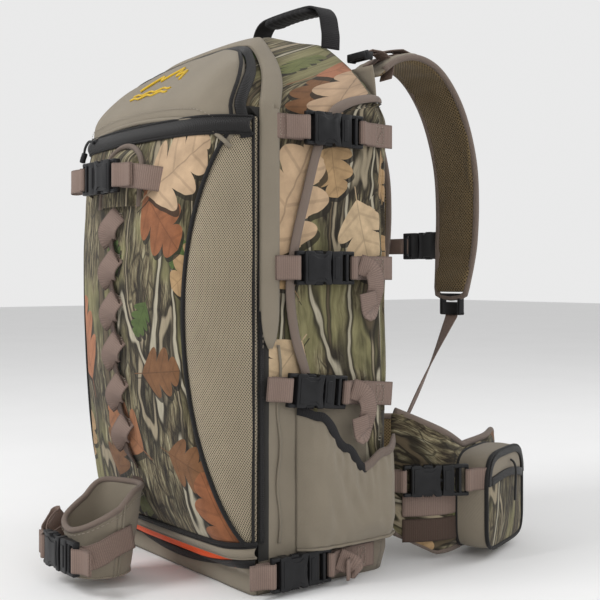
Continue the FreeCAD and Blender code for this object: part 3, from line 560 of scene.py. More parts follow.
def new_object(name, verts, faces, material, uvs=None, smooth=True):
    """uvs: one (u, v) per vertex."""
    mesh = bpy.data.meshes.new(name)
    mesh.from_pydata([tuple(v) for v in verts], [], faces)
    mesh.update()
    layer = mesh.uv_layers.new(name="flat")
    if uvs is None:
        uvs = [flat_uv(Vector(v)) for v in verts]
    for loop in mesh.loops:
        layer.data[loop.index].uv = uvs[loop.vertex_index]
    if smooth:
        mesh.polygons.foreach_set("use_smooth", [True] * len(mesh.polygons))
    for item in (material if isinstance(material, (list, tuple)) else [material]):
        mesh.materials.append(item)
    item = bpy.data.objects.new(name, mesh)
    scene.collection.objects.link(item)
    return item


def normals_of(rows):
    """A unit normal for each point of a grid, from its neighbours."""
    result = []
    last_row = len(rows) - 1
    for r, row in enumerate(rows):
        line = []
        last = len(row) - 1
        for c in range(len(row)):
            up = rows[min(r + 1, last_row)][c] - rows[max(r - 1, 0)][c]
            across = row[min(c + 1, last)] - row[max(c - 1, 0)]
            normal = across.cross(up)
            line.append(normal.normalized() if normal.length > 1e-12 else Vector((0, 0, 1)))
        result.append(line)
    return result


def grid(name, rows, material, thickness=0.0, lift=None, uvs=None, flip=False):
    """A sheet from rows of points; lift(row share, column share, point) moves it along its normals."""
    if lift:
        normals = normals_of(rows)
        sign = -1 if flip else 1
        rows = [[point + normals[r][c] * sign * lift(r / (len(rows) - 1), c / (len(row) - 1), point)
                 for c, point in enumerate(row)] for r, row in enumerate(rows)]
    columns = len(rows[0])
    verts = [point for row in rows for point in row]
    faces = []
    for r in range(len(rows) - 1):
        for c in range(columns - 1):
            quad = (r * columns + c, r * columns + c + 1, (r + 1) * columns + c + 1, (r + 1) * columns + c)
            faces.append(quad[::-1] if flip else quad)
    flat = [uv for row in uvs for uv in row] if uvs else None
    item = new_object(name, verts, faces, material, flat)
    if thickness:
        solid = item.modifiers.new("thickness", "SOLIDIFY")
        solid.thickness = thickness
        solid.offset = -1
    return item


def pillow(depth, border=0.18):
    """A lift that is nothing on the panel's edge and rises quickly to a soft crown."""
    def lift(row_share, column_share, point):
        edge = min(row_share, 1 - row_share) / border
        side = min(column_share, 1 - column_share) / border
        rise = min(1.0, edge) * min(1.0, side)
        return depth * math.sin(rise * math.pi / 2) + rumple(point, depth * 0.35)
    return lift


def tube(name, points, radius, material, sides=8, closed=False):
    """A round bead along a polyline."""
    points = [Vector(p) for p in points]
    rings = []
    uvs = []
    travelled = 0.0
    count = len(points)
    previous = None
    for index, point in enumerate(points):
        ahead = points[(index + 1) % count] if closed else points[min(index + 1, count - 1)]
        behind = points[index - 1] if closed or index else points[0]
        run = (ahead - behind).normalized()
        if previous is None:
            side = run.orthogonal().normalized()
        else:
            side = (previous - run * previous.dot(run)).normalized()
        previous = side
        other = run.cross(side)
        turns = [k * math.tau / sides for k in range(sides)]
        rings.append([point + (side * math.cos(a) + other * math.sin(a)) * radius for a in turns])
        uvs.append([(travelled, k * radius) for k in range(sides)])
        travelled += (ahead - point).length
    verts = [v for ring in rings for v in ring]
    faces = []
    for r in range(count if closed else count - 1):
        for k in range(sides):
            following = ((r + 1) % count) * sides
            faces.append((r * sides + k, r * sides + (k + 1) % sides, following + (k + 1) % sides,
                          following + k))
    if not closed:
        faces.append(tuple(range(sides))[::-1])
        faces.append(tuple((count - 1) * sides + k for k in range(sides)))
    return new_object(name, verts, faces, material, [uv for ring in uvs for uv in ring])


def strap(name, points, outs, width, thickness, material, widths=None):
    """Webbing along a polyline: outs are the directions its face looks."""
    points = [Vector(p) for p in points]
    verts = []
    uvs = []
    travelled = 0.0
    profile = [(-0.5, -0.32), (-0.46, -0.5), (0, -0.5), (0.46, -0.5), (0.5, -0.32),
               (0.5, 0.32), (0.46, 0.5), (0, 0.5), (-0.46, 0.5), (-0.5, 0.32)]
    size = len(profile)
    for index, point in enumerate(points):
        ahead = points[min(index + 1, len(points) - 1)]
        behind = points[max(index - 1, 0)]
        run = (ahead - behind).normalized()
        out = Vector(outs[index] if isinstance(outs, list) else outs)
        out = (out - run * out.dot(run)).normalized()
        side = run.cross(out)
        wide = widths[index] if widths else width
        for across, up in profile:
            verts.append(point + side * across * wide + out * up * thickness)
            uvs.append((travelled, across + 0.5))
        travelled += (ahead - point).length
    faces = []
    for r in range(len(points) - 1):
        for k in range(size):
            faces.append((r * size + k, (r + 1) * size + k, (r + 1) * size + (k + 1) % size,
                          r * size + (k + 1) % size))
    faces.append(tuple(range(size)))
    faces.append(tuple((len(points) - 1) * size + k for k in range(size))[::-1])
    return new_object(name, verts, faces, material, uvs)


def curve_points(knots, per_span=8):
    """A smooth path through given knots (Catmull-Rom)."""
    knots = [Vector(k) for k in knots]
    padded = [knots[0] * 2 - knots[1]] + knots + [knots[-1] * 2 - knots[-2]]
    path = []
    for a, b, c, d in zip(padded, padded[1:], padded[2:], padded[3:]):
        for k in range(per_span):
            t = k / per_span
            path.append(0.5 * ((2 * b) + (c - a) * t + (2 * a - 5 * b + 4 * c - d) * t * t
                               + (3 * b - a - 3 * c + d) * t ** 3))
    path.append(knots[-1])
    return path


def joined(name, items):
    """One object from several."""
    with bpy.context.temp_override(active_object=items[0], selected_editable_objects=items,
                                   selected_objects=items):
        bpy.ops.object.join()
    items[0].name = name
    return items[0]


def place(piece, body, slot, *nodes):
    """Parents a piece to the body it rides on and hides the CAD nodes it stands for; slot, the finish it
    would take, is not used.
    """
    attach(piece, body)
    if nodes:
        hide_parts(*nodes)
    return piece


def stitches(name, points, outs, material, length=3.2 * MM, gap=2.0 * MM, radius=0.42 * MM):
    """A row of raised thread stitches along a path."""
    verts = []
    faces = []
    travelled = 0.0
    target = gap
    points = [Vector(p) for p in points]
    for index in range(len(points) - 1):
        first = points[index]
        second = points[index + 1]
        span = (second - first).length
        while target < travelled + span and span > 1e-9:
            run = (second - first) / span
            out = Vector(outs[index] if isinstance(outs, list) else outs).normalized()
            side = run.cross(out).normalized()
            middle = first + run * (target - travelled)
            base = len(verts)
            for end, wide in ((-0.5, 0.35), (-0.3, 1.0), (0.3, 1.0), (0.5, 0.35)):
                spot = middle + run * end * length
                verts += [spot - side * radius * wide, spot + out * radius * wide * 1.3,
                          spot + side * radius * wide, spot - out * radius * wide * 0.6]
            for ring in range(3):
                for k in range(4):
                    a = base + ring * 4
                    faces.append((a + k, a + (k + 1) % 4, a + 4 + (k + 1) % 4, a + 4 + k))
            faces += [(base + 3, base + 2, base + 1, base), (base + 12, base + 13, base + 14, base + 15)]
            target += length + gap
        travelled += span
    return new_object(name, verts, faces, material, [(v.x, v.z) for v in verts])


# ================================================================ the bag's skin

outline_cache = {}


def outline_at(height, grow=0.0):
    key = (round(height, 5), grow)
    if key not in outline_cache:
        points, seam_index = half_plan(height, grow)
        outline_cache[key] = (points, seam_index, length_of(points[:seam_index + 1]))
    return outline_cache[key]


def front_point(height, reach, grow=0.0):
    """A point of the front: reach is the signed length along the outline from its middle."""
    x, y = along(outline_at(height, grow)[0], abs(reach))
    return Vector((math.copysign(x, reach), y, height))


def crescent_reach(height):
    """How far round the front the mesh begins."""
    middle = (PANEL_HIGH + 0.052) / 2
    half = (PANEL_HIGH - 0.052) / 2
    radius = (half ** 2 + 0.037 ** 2) / (2 * 0.037)
    edge = HALF_WIDTH - 0.039 + radius - math.sqrt(max(0, radius ** 2 - (height - middle) ** 2))
    points, _, reach = outline_at(height)
    travelled = 0.0
    for first, second in zip(points, points[1:]):
        if second[0] >= edge:
            share = (edge - first[0]) / (second[0] - first[0])
            return min(travelled + math.dist(first, second) * share, reach - 0.001)
        travelled += math.dist(first, second)
    return reach - 0.001


def full_ring(height):
    points = outline_at(height)[0]
    ring = [Vector((x, y, height)) for x, y in points]
    return ring + [Vector((-v.x, v.y, v.z)) for v in ring[-2:0:-1]]


HEIGHTS = [0.0, 0.006, 0.012, 0.022, 0.035] + [0.05 + 0.011 * k for k in range(39)]
HEIGHTS += [0.4785 + 0.0042 * k for k in range(23)]


def skin_tree():
    """The bag's closed outer surface, for laying trim on it."""
    verts = []
    faces = []
    for height in HEIGHTS:
        verts += full_ring(min(height, BAG_TOP))
    size = len(full_ring(0.3))
    for r in range(len(HEIGHTS) - 1):
        for k in range(size):
            a = r * size + k
            b = r * size + (k + 1) % size
            faces.append((a, b, b + size, a + size))
    top = (len(HEIGHTS) - 1) * size
    faces.append(tuple(top + k for k in range(size)))
    return BVHTree.FromPolygons([tuple(v) for v in verts], faces)


SKIN = skin_tree()


def on_skin(point, lift=0.0):
    """The nearest point of the bag's skin, raised by lift, and the outward direction there."""
    spot, normal = SKIN.find_nearest(Vector(point))[:2]
    if normal.dot(spot - Vector((0, 0, min(0.3, spot.z - 0.001)))) < 0:
        normal = -normal
    return spot + normal * lift, normal


def surface_strip(name, path, width, material, lift=1.0 * MM, crown=0.0, columns=6, thickness=1.2 * MM,
                  tips=False, in_widths=False):
    """A strip of cloth laid on the bag along a path: its edges follow the skin."""
    path = [Vector(p) for p in path]
    rows = []
    uvs = []
    travelled = 0.0
    for index, point in enumerate(path):
        ahead = path[min(index + 1, len(path) - 1)]
        behind = path[max(index - 1, 0)]
        run = (ahead - behind).normalized()
        normal = on_skin(point)[1]
        side = run.cross(normal).normalized()
        wide = width
        if tips:
            near = min(index, len(path) - 1 - index) / 5
            wide = width * math.sqrt(max(0.02, min(1.0, 1 - (1 - min(near, 1.0)) ** 2)))
        row = []
        line = []
        for k in range(columns + 1):
            share = k / columns - 0.5
            spot, out = on_skin(point + side * share * wide)
            row.append(spot + out * (lift + crown * (1 - (2 * share) ** 2)))
            line.append((travelled, share + 0.5) if in_widths else flat_uv(spot))
        rows.append(row)
        uvs.append(line)
        travelled += (ahead - point).length
    return grid(name, rows, material, thickness, uvs=uvs, flip=True)


def edge_of(path, width, side_sign, lift):
    """The path of one edge of such a strip."""
    result = []
    outs = []
    for index, point in enumerate(path):
        ahead = path[min(index + 1, len(path) - 1)]
        behind = path[max(index - 1, 0)]
        run = (ahead - behind).normalized()
        normal = on_skin(point)[1]
        side = run.cross(normal).normalized()
        spot, out = on_skin(point + side * side_sign * width / 2, lift)
        result.append(spot)
        outs.append(out)
    return result, outs


# the lid's plane: up the slope of the crown from the hinge

HINGE = Vector((0, front_y(LID_Z + 0.003), LID_Z + 0.003))
LID_CREST = LID_Z + 0.82 * CROWN_RISE
SLOPE = (Vector((0, front_y(LID_CREST), LID_CREST)) - HINGE).normalized()
SLOPE_OUT = Vector((0, -SLOPE.z, SLOPE.y))
LID_HALF = 0.134
LID_RISE = 0.118


def on_crown(across, up, lift=0.0):
    """The skin under a point of the lid's plane, looked at square to the slope."""
    start = HINGE + Vector((across, 0, 0)) + SLOPE * up + SLOPE_OUT * 0.2
    hit = SKIN.ray_cast(start, -SLOPE_OUT)
    if hit[0] is None:
        return on_skin(start - SLOPE_OUT * 0.2, lift)[0]
    normal = hit[1] if hit[1].dot(SLOPE_OUT) > 0 else -hit[1]
    return hit[0] + normal * lift


def bag_body():
    """Side, back and crown, with a front lining where the panel opens; the hole under the lid is cut
    afterwards.
    """
    rows = []
    for height in HEIGHTS:
        points, seam_index = outline_at(min(height, BAG_TOP))[:2]
        kept = points[seam_index:]
        if height <= LID_Z:
            lining = [(kept[0][0] * (1 - k / 28), SEAM_Y + 0.004 * min(1, k)) for k in range(29)][:0:-1]
        else:
            lining = points[:seam_index]
            lining = [along(lining, length_of(lining) * k / 28) for k in range(28)]
        half = lining + kept
        ring = [Vector((x, y, min(height, BAG_TOP))) for x, y in half]
        ring += [Vector((-v.x, v.y, v.z)) for v in ring[-2:0:-1]]
        rows.append(ring)
    size = len(rows[0])
    verts = []
    for row in rows:
        for point in row:
            out = Vector((point.x, point.y + 0.02, 0)).normalized()
            if point.z > LID_Z:
                out = on_skin(point)[1]
            folds = rumple(point, 1.6 * MM, 14) + rumple(point, 0.7 * MM, 34, 4)
            verts.append(point + out * (folds if point.y > SEAM_Y + 0.005 or point.z > LID_Z else 0))
    faces = []
    for r in range(len(rows) - 1):
        for k in range(size):
            a = r * size + k
            b = r * size + (k + 1) % size
            faces.append((a, b, b + size, a + size))
    faces.append(tuple(range(size))[::-1])
    top = (len(rows) - 1) * size
    crest = Vector((0, 0.035, BAG_TOP + 0.004))
    inner = []
    for ring in (0.66, 0.33):
        inner.append(len(verts))
        for k in range(size):
            spot = crest.lerp(rows[-1][k], ring)
            spot.z = BAG_TOP + 0.004 * (1 - ring ** 2) + rumple(spot, 1.5 * MM, 25)
            verts.append(spot)
    verts.append(crest)
    levels = [top] + inner
    for low, high in zip(levels, levels[1:]):
        for k in range(size):
            faces.append((low + k, low + (k + 1) % size, high + (k + 1) % size, high + k))
    for k in range(size):
        faces.append((inner[-1] + k, inner[-1] + (k + 1) % size, len(verts) - 1))
    body = new_object("bag_body", verts, faces, [mats["camo"], mats["taupe"], mats["lining"], mats["base"]])
    for face in body.data.polygons:
        spot = face.center
        if spot.z < 0.030:
            face.material_index = 3
        elif spot.z < LID_Z and spot.y < SEAM_Y + 0.008:
            face.material_index = 2
        elif spot.z < 0.2 and abs(spot.x) > 0.125 and spot.y < 0.060:
            face.material_index = 1
        elif spot.y > 0.088 and abs(spot.x) < 0.118 and spot.z < 0.53:
            face.material_index = 1
    return body


def cut_lid_hole(body):
    """Opens the crown under the lid and shows the dark lining inside."""
    solid = body.modifiers.new("thickness", "SOLIDIFY")
    solid.thickness = 2.5 * MM
    solid.offset = -1
    solid.material_offset = 2
    outline = [(LID_HALF * math.cos(k * math.pi / 48), LID_RISE * math.sin(k * math.pi / 48))
               for k in range(49)]
    low = [HINGE + Vector((x, 0, 0.0)) + SLOPE * t - SLOPE_OUT * 0.05 for x, t in outline]
    high = [point + SLOPE_OUT * 0.12 for point in low]
    verts = low + high
    size = len(low)
    faces = [tuple(range(size))[::-1], tuple(range(size, 2 * size))]
    faces += [(k, (k + 1) % size, size + (k + 1) % size, size + k) for k in range(size)]
    cutter = new_object("lid_cutter", verts, faces, mats["lining"], smooth=False)
    cut = body.modifiers.new("hole", "BOOLEAN")
    cut.operation = "DIFFERENCE"
    cut.solver = "EXACT"
    cut.object = cutter
    apply_modifiers(body)
    bpy.data.objects.remove(cutter)


def apply_modifiers(item):
    graph = bpy.context.evaluated_depsgraph_get()
    mesh = bpy.data.meshes.new_from_object(item.evaluated_get(graph))
    item.modifiers.clear()
    item.data = mesh


# ================================================================ front panel, lid and yoke

def panel_rows(start_of, end_of, low, high, rows, columns, grow=0.0):
    result = []
    for r in range(rows + 1):
        height = low + (high - low) * r / rows
        first = start_of(height)
        last = end_of(height)
        result.append([front_point(height, first + (last - first) * c / columns, grow)
                       for c in range(columns + 1)])
    return result


def front_panel():
    low = PANEL_LOW + 0.001
    high = PANEL_HIGH
    rows = panel_rows(lambda z: -crescent_reach(z), crescent_reach, low, high, 120, 90)
    center = grid("front_center_camo", rows, mats["camo"], 2.5 * MM, pillow(3.0 * MM, 0.08))
    place(center, "front_panel", "camo_fabric", "front_center_panel")
    for side, name in ((1, "right"), (-1, "left")):
        rows = panel_rows(lambda z: side * crescent_reach(z), lambda z: side * (outline_at(z)[2] - 0.001),
                          low, high, 120, 22)
        mesh = grid("mesh_crescent_" + name, rows, mats["mesh"], 2.5 * MM, pillow(4.0 * MM, 0.25),
                    flip=side < 0)
        place(mesh, "front_panel", "open_mesh", "mesh_pocket_" + name)
        heights = [low + (high - low) * k / 90 for k in range(91)]
        inner = [front_point(z, side * crescent_reach(z), 1.6 * MM) for z in heights]
        place(tube("crescent_piping_" + name, inner, 2.1 * MM, mats["piping"]), "front_panel",
              "black_webbing")
        outer = [front_point(z, side * (outline_at(z)[2] - 0.004), 1.8 * MM) for z in heights]
        place(tube("panel_edge_coil_" + name, outer, 1.6 * MM, mats["piping"]), "front_panel",
              "black_webbing")
        tape = [on_skin((side * half_at(z), SEAM_Y + 0.003, z), 0)[0] for z in heights[:-2]]
        place(surface_strip("panel_zip_tape_" + name, tape, 4.5 * MM, mats["zip"], 0.9 * MM, 0.3 * MM,
                            in_widths=True), "root", "black_webbing")
    bottom = [front_point(low, reach, 1.5 * MM) for reach in
              [outline_at(low)[2] * (k / 30 - 1) for k in range(61)]]
    place(tube("panel_bottom_piping", bottom, 2.2 * MM, mats["piping"]), "front_panel", "black_webbing")


def zip_band():
    """The coated zip cover under the lid: a low half-round band with fine ribs, and its stitching."""
    rows = []
    uvs = []
    steps = 11
    for r in range(steps):
        share = r / (steps - 1)
        height = 0.4515 + 0.0165 * share
        swell = 0.6 * MM + 4.2 * MM * math.sin(share * math.pi) ** 0.7
        reach = outline_at(height)[2] - 0.002
        rows.append([front_point(height, reach * (c / 70 - 1), swell + 3.0 * MM) for c in range(141)])
        uvs.append([(reach * (c / 70 - 1), share) for c in range(141)])
    band = grid("front_zip_cover", rows, mats["zip"], 1.2 * MM, uvs=uvs)
    place(band, "front_panel", "black_webbing", "front_zip_band")
    for name, height in (("low", 0.4515), ("high", 0.4682)):
        reach = outline_at(height)[2] - 0.003
        line = [front_point(height, reach * (c / 60 - 1), 3.6 * MM) for c in range(121)]
        place(tube("front_zip_edge_" + name, line, 1.5 * MM, mats["piping"]), "front_panel",
              "black_webbing")


def lid():
    """The lid: a soft taupe half ellipse with a stitched hem, black edge piping and a stitched motif."""
    rows = []
    count = 44
    for r in range(count + 1):
        up = -0.0085 + (LID_RISE + 0.0065) * math.sin(r / count * math.pi / 2)
        half = (LID_HALF + 0.004) * math.sqrt(max(0, 1 - (max(0.0, up) / LID_RISE) ** 2)) + 0.004
        rows.append([on_crown(half * (c / 34 - 1), up, 0.8 * MM) for c in range(69)])
    sheet = grid("lid_cloth", rows, mats["taupe"], 2.2 * MM, pillow(4.2 * MM, 0.12))
    place(sheet, "lid", "plain_fabric", "lid_flap")
    arc_path = []
    for k in range(81):
        angle = math.radians(2 + 176 * k / 80)
        arc_path.append(on_crown((LID_HALF + 0.004) * math.cos(angle), (LID_RISE + 0.001) * math.sin(angle),
                                 2.0 * MM))
    place(tube("lid_edge_piping", arc_path, 2.0 * MM, mats["piping"]), "lid", "black_webbing")
    hem = [on_crown((LID_HALF + 0.004) * (k / 40 - 1), -0.008, 2.6 * MM) for k in range(81)]
    place(tube("lid_hem", hem, 2.4 * MM, mats["taupe"]), "lid", "plain_fabric")
    seam = [on_crown(LID_HALF * (k / 60 - 1), 0.001, 4.6 * MM) for k in range(121)]
    place(stitches("lid_hem_stitches", seam, SLOPE_OUT, mats["thread"]), "lid", "plain_fabric")
    peaks = [(-24, 42), (-14, 66), (-6, 54), (4, 76), (14, 56), (20, 64), (30, 42)]
    ridge = []
    for first, second in zip(peaks, peaks[1:]):
        for k in range(6):
            share = k / 6
            x = first[0] + (second[0] - first[0]) * share
            t = first[1] + (second[1] - first[1]) * share
            ridge.append(on_crown(-0.012 + 1.5 * x * MM, (t * 1.15 - 4) * MM, 5.2 * MM))
    place(tube("lid_motif_ridge", ridge, 1.5 * MM, mats["yellow"]), "lid", "plain_fabric")
    for spot, row in enumerate((34, 28)):
        line = [on_crown(-0.012 + (-36 + 81 * k / 20) * MM, (row + 1.8 * math.sin(k * 0.9)) * MM, 5.0 * MM)
                for k in range(21)]
        place(tube("lid_motif_line_%d" % spot, line, 1.3 * MM, mats["yellow"]), "lid", "plain_fabric")


def yoke():
    """The plain strip outside the lid's zip, over the crown and down the side to a round tip."""
    knots = []
    for side in (1, -1):
        half = []
        for z in (0.243, 0.27, 0.30, 0.34, 0.38, 0.42, 0.455, 0.478):
            half.append(Vector((side * 0.1455, SEAM_Y + 0.0115, z)))
        knots.append(half)
    arch = []
    for k in range(25):
        angle = math.radians(22 + 136 * k / 24)
        arch.append(on_crown((LID_HALF + 0.021) * math.cos(angle), (LID_RISE + 0.021) * math.sin(angle)))
    path = curve_points(knots[0] + arch + knots[1][::-1], 3)
    path = [on_skin(p)[0] for p in path]
    strip = surface_strip("yoke_cloth", path, 21 * MM, mats["taupe"], 2.2 * MM, 1.4 * MM, 8, 2.2 * MM,
                          tips=True)
    place(strip, "root", "plain_fabric", "yoke_strip")
    for name, sign in (("inner", -1), ("outer", 1)):
        line, outs = edge_of(path, 16.5 * MM, sign, 3.4 * MM)
        place(stitches("yoke_stitches_" + name, line, outs, mats["thread"]), "root", "plain_fabric")
        edge, outs = edge_of(path[4:-4], 20.5 * MM, sign, 2.0 * MM)
        place(tube("yoke_edge_" + name, edge, 1.1 * MM, mats["taupe"], 6), "root", "plain_fabric")
    ring = []
    for k in range(100):
        angle = math.radians(4 + 172 * k / 99)
        ring.append(on_crown((LID_HALF + 0.0095) * math.cos(angle), (LID_RISE + 0.0075) * math.sin(angle)))
    place(surface_strip("lid_zip_tape", ring, 10 * MM, mats["zip"], 1.4 * MM, 1.6 * MM, in_widths=True),
          "root", "black_webbing")


# ================================================================ straps and buckles

def slab(outline, low, high, bevel):
    """A rounded plate between two levels."""
    made = bmesh.new()
    base = [made.verts.new((x * MM, y * MM, low * MM)) for x, y in outline]
    face = made.faces.new(base)
    top = bmesh.ops.extrude_face_region(made, geom=[face])
    moved = [v for v in top["geom"] if isinstance(v, bmesh.types.BMVert)]
    bmesh.ops.translate(made, verts=moved, vec=(0, 0, (high - low) * MM))
    bmesh.ops.recalc_face_normals(made, faces=made.faces)
    bmesh.ops.bevel(made, geom=list(made.edges), offset=bevel * MM, segments=2, profile=0.6,
                    affect="EDGES", clamp_overlap=True)
    mesh = bpy.data.meshes.new("plate")
    made.to_mesh(mesh)
    made.free()
    return mesh


def moulding(name, plates):
    """One mesh from (outline, low, high, bevel) plates."""
    total = bmesh.new()
    for plate in plates:
        mesh = slab(*plate)
        total.from_mesh(mesh)
        bpy.data.meshes.remove(mesh)
    mesh = bpy.data.meshes.new(name)
    total.to_mesh(mesh)
    total.free()
    mesh.materials.append(mats["plastic"])
    mesh.polygons.foreach_set("use_smooth", [True] * len(mesh.polygons))
    return mesh


def rect(x0, x1, y0, y1):
    return [(x0, y0), (x1, y0), (x1, y1), (x0, y1)]


def socket_mesh():
    shell = [(-34, -16), (-31, -17), (-23, -17), (-21, -14), (-9, -14), (-7, -17), (-1, -17), (0, -16),
             (-2, -6), (-2, 6), (0, 16), (-1, 17), (-7, 17), (-9, 14), (-21, 14), (-23, 17), (-31, 17),
             (-34, 16)]
    inset = [(-31, -13), (-24, -13), (-19, -10), (-11, -10), (-7, -13), (-5, -12), (-6, 0), (-5, 12),
             (-7, 13), (-11, 10), (-19, 10), (-24, 13), (-31, 13)]
    return moulding("socket", [
        (shell, 0.3, 10.7, 1.3), (inset, 10.2, 11.5, 0.5), (rect(-42, -33, 13.2, 17), 1.5, 9.0, 1.2),
        (rect(-42, -33, -17, -13.2), 1.5, 9.0, 1.2), (rect(-42.3, -38.6, -17, 17), 1.8, 8.2, 1.5),
        (rect(-33.5, -31, -13, 13), 7.0, 11.2, 0.7)])


def tongue_mesh():
    body = [(0.6, -16.5), (12, -17), (14, -16.5), (14, 16.5), (12, 17), (0.6, 16.5), (1.6, 6), (1.6, -6)]
    plates = [(body, 1.2, 9.8, 1.2), (rect(3.5, 9.5, -11, 11), 9.4, 10.6, 0.5),
              (rect(13, 30, 13.2, 17), 1.6, 9.0, 1.2), (rect(13, 30, -17, -13.2), 1.6, 9.0, 1.2),
              (rect(26.8, 30.4, -17, 17), 1.8, 8.6, 1.4), (rect(18.6, 22.0, -14, 14), 3.0, 10.0, 1.3),
              (rect(-20, 2, -1.6, 1.6), 4.2, 6.8, 0.6)]
    for sign in (1, -1):
        arm = [(1, sign * 11.0), (-12, sign * 11.4), (-20, sign * 12.0), (-22.4, sign * 13.0),
               (-20, sign * 16.2), (-16, sign * 17.0), (-11, sign * 16.4), (-8.6, sign * 14.4),
               (1, sign * 13.6)]
        plates.append((arm if sign > 0 else arm[::-1], 2.9, 8.1, 0.7))
        for rib in range(4):
            x = -19 + 2.6 * rib
            plates.append((rect(x, x + 1.2, min(sign * 15.4, sign * 17.6), max(sign * 15.4, sign * 17.6)),
                           3.4, 7.6, 0.35))
    return moulding("tongue", plates)


def facing(origin, run, out):
    """A matrix whose X runs along a strap and whose Z points out of it."""
    run = Vector(run).normalized()
    out = (Vector(out) - run * Vector(out).dot(run)).normalized()
    side = out.cross(run)
    turn = Matrix((run, side, out)).transposed().to_4x4()
    return Matrix.Translation(Vector(origin)) @ turn


buckle_meshes = {}


def half_buckle(name, kind, matrix, body, *nodes):
    mesh = buckle_meshes[kind].copy()
    mesh.transform(matrix)
    item = bpy.data.objects.new(name, mesh)
    scene.collection.objects.link(item)
    return place(item, body, "buckle_plastic", *nodes)


def webbing_loop(name, matrix, spot, body, slot_name="webbing", finish="webbing", width=24.0):
    """Webbing folded round a buckle's bar at a local x, with its return lying on itself."""
    sign = 1 if spot > 0 else -1
    local = [(spot + sign * 24, 1.0), (spot + sign * 10, 1.2), (spot + sign * 3, 1.6), (spot, 4.0),
             (spot - sign * 1.2, 6.6), (spot - sign * 0.6, 9.4), (spot + sign * 3, 10.4),
             (spot + sign * 8, 6.2), (spot + sign * 15, 3.6), (spot + sign * 24, 3.0)]
    path = curve_points([matrix @ Vector((x * MM, 0, z * MM)) for x, z in local], 4)
    outs = []
    side = (matrix.to_3x3() @ Vector((0, 1, 0))).normalized()
    for index in range(len(path)):
        run = (path[min(index + 1, len(path) - 1)] - path[max(index - 1, 0)]).normalized()
        outs.append(run.cross(side) * -1)
    item = strap(name, path, outs, width * MM, 1.5 * MM, mats[finish])
    return place(item, body, slot_name)


def compression_straps():
    """Four webbing straps a side with their buckles, folded ends and hanging tails."""
    strap_x = HALF_WIDTH + 0.0025
    rows = [("upper", 0.462, 0.462, -62, 66, 8), ("middle", 0.322, 0.322, -62, 66, -4),
            ("lower", 0.202, 0.190, -62, 66, -14), ("base", 0.022, 0.022, -80, 40, -34)]
    for side, name in ((1, "right"), (-1, "left")):
        out = Vector((side, 0, 0))
        pieces = []
        for level, front_z, rear_z, front_end, rear_end, joint in rows:
            start = Vector((side * strap_x, front_end * MM, front_z))
            end = Vector((side * strap_x, rear_end * MM, rear_z))
            run = (end - start).normalized()
            share = (joint - front_end) / (rear_end - front_end)
            mouth = start.lerp(end, share) + out * (1.9 * MM)
            matrix = facing(mouth, run, out)
            tongue_body = "%s_buckle_%s" % (level, name) if level != "base" else "root"
            half_buckle("%s_socket_%s" % (level, name), "socket", matrix, "root")
            nodes = ["%s_tongue_%s" % (level, name)] if level != "base" else []
            half_buckle("%s_tongue_shape_%s" % (level, name), "tongue", matrix, tongue_body, *nodes)
            webbing_loop("%s_front_fold_%s" % (level, name), matrix, -40.5, "root")
            webbing_loop("%s_rear_fold_%s" % (level, name), matrix, 28.5, tongue_body)
            sewn = [start - run * 10 * MM, start, start + run * 14 * MM, start.lerp(mouth, 0.6)]
            sewn = [p + out * (1.2 * MM + 1.0 * MM * math.sin(k)) for k, p in enumerate(sewn)]
            pieces.append(strap("sewn", curve_points(sewn, 4), out, 25 * MM, 1.6 * MM, mats["webbing"]))
            far = [mouth + run * 40 * MM, mouth + run * 52 * MM, end, end + run * 20 * MM]
            far = [Vector((side * (strap_x + (3.2 - 0.8 * k) * MM), p.y, p.z)) for k, p in enumerate(far)]
            pieces.append(strap("sewn", curve_points(far, 4), out, 25 * MM, 1.6 * MM, mats["webbing"]))
            for spot in (start + run * 5 * MM, end + run * 2 * MM):
                box = []
                up = out.cross(run)
                for x, y in ((-5, -9), (5, -9), (5, 9), (-5, 9), (-5, -9), (5, 9)):
                    box.append(spot + run * x * MM + up * y * MM + out * 2.6 * MM)
                pieces.append(stitches("sewn_box", box, out, mats["thread"], 2.4 * MM, 1.2 * MM))
        web = joined("compression_webbing_shape_" + name, pieces)
        place(web, "root", "webbing", "compression_webbing_" + name, "compression_sockets_" + name)
        tails = [("middle", 0.322, 34, 46), ("lower", 0.194, 24, 44), ("base", 0.022, 6, 34)]
        for level, z, y, drop in tails:
            x = side * (strap_x + 9 * MM)
            knots = [(x, y * MM, z + 4 * MM), (x + side * 6 * MM, (y + 12) * MM, z - 2 * MM),
                     (x + side * 8 * MM, (y + 16) * MM, z - drop * 0.4 * MM),
                     (x + side * 3 * MM, (y + 14) * MM, z - drop * 0.8 * MM),
                     (x + side * 9 * MM, (y + 7) * MM, z - drop * 0.95 * MM),
                     (x + side * 10 * MM, (y + 3) * MM, z - drop * 0.55 * MM)]
            if level == "base":
                knots = [(k[0], k[1], max(k[2], 0.016)) for k in knots]
            path = curve_points(knots, 6)
            outs = []
            for index in range(len(path)):
                heading = (path[min(index + 1, len(path) - 1)] - path[max(index - 1, 0)]).normalized()
                outs.append(heading.cross(Vector((side, 0.5, 0.2))).cross(heading) * -side)
            tail = strap("%s_tail_%s" % (level, name), path, out, 22 * MM, 1.5 * MM, mats["webbing"])
            place(tail, "root" if level == "base" else "%s_buckle_%s" % (level, name), "webbing")


# ================================================================ sides and bottom

def fold_outs(path, across):
    """Directions square to a folded strip whose width always runs along one line."""
    across = Vector(across).normalized()
    outs = []
    for index in range(len(path)):
        run = path[min(index + 1, len(path) - 1)] - path[max(index - 1, 0)]
        outs.append(across.cross(run).normalized())
    return outs


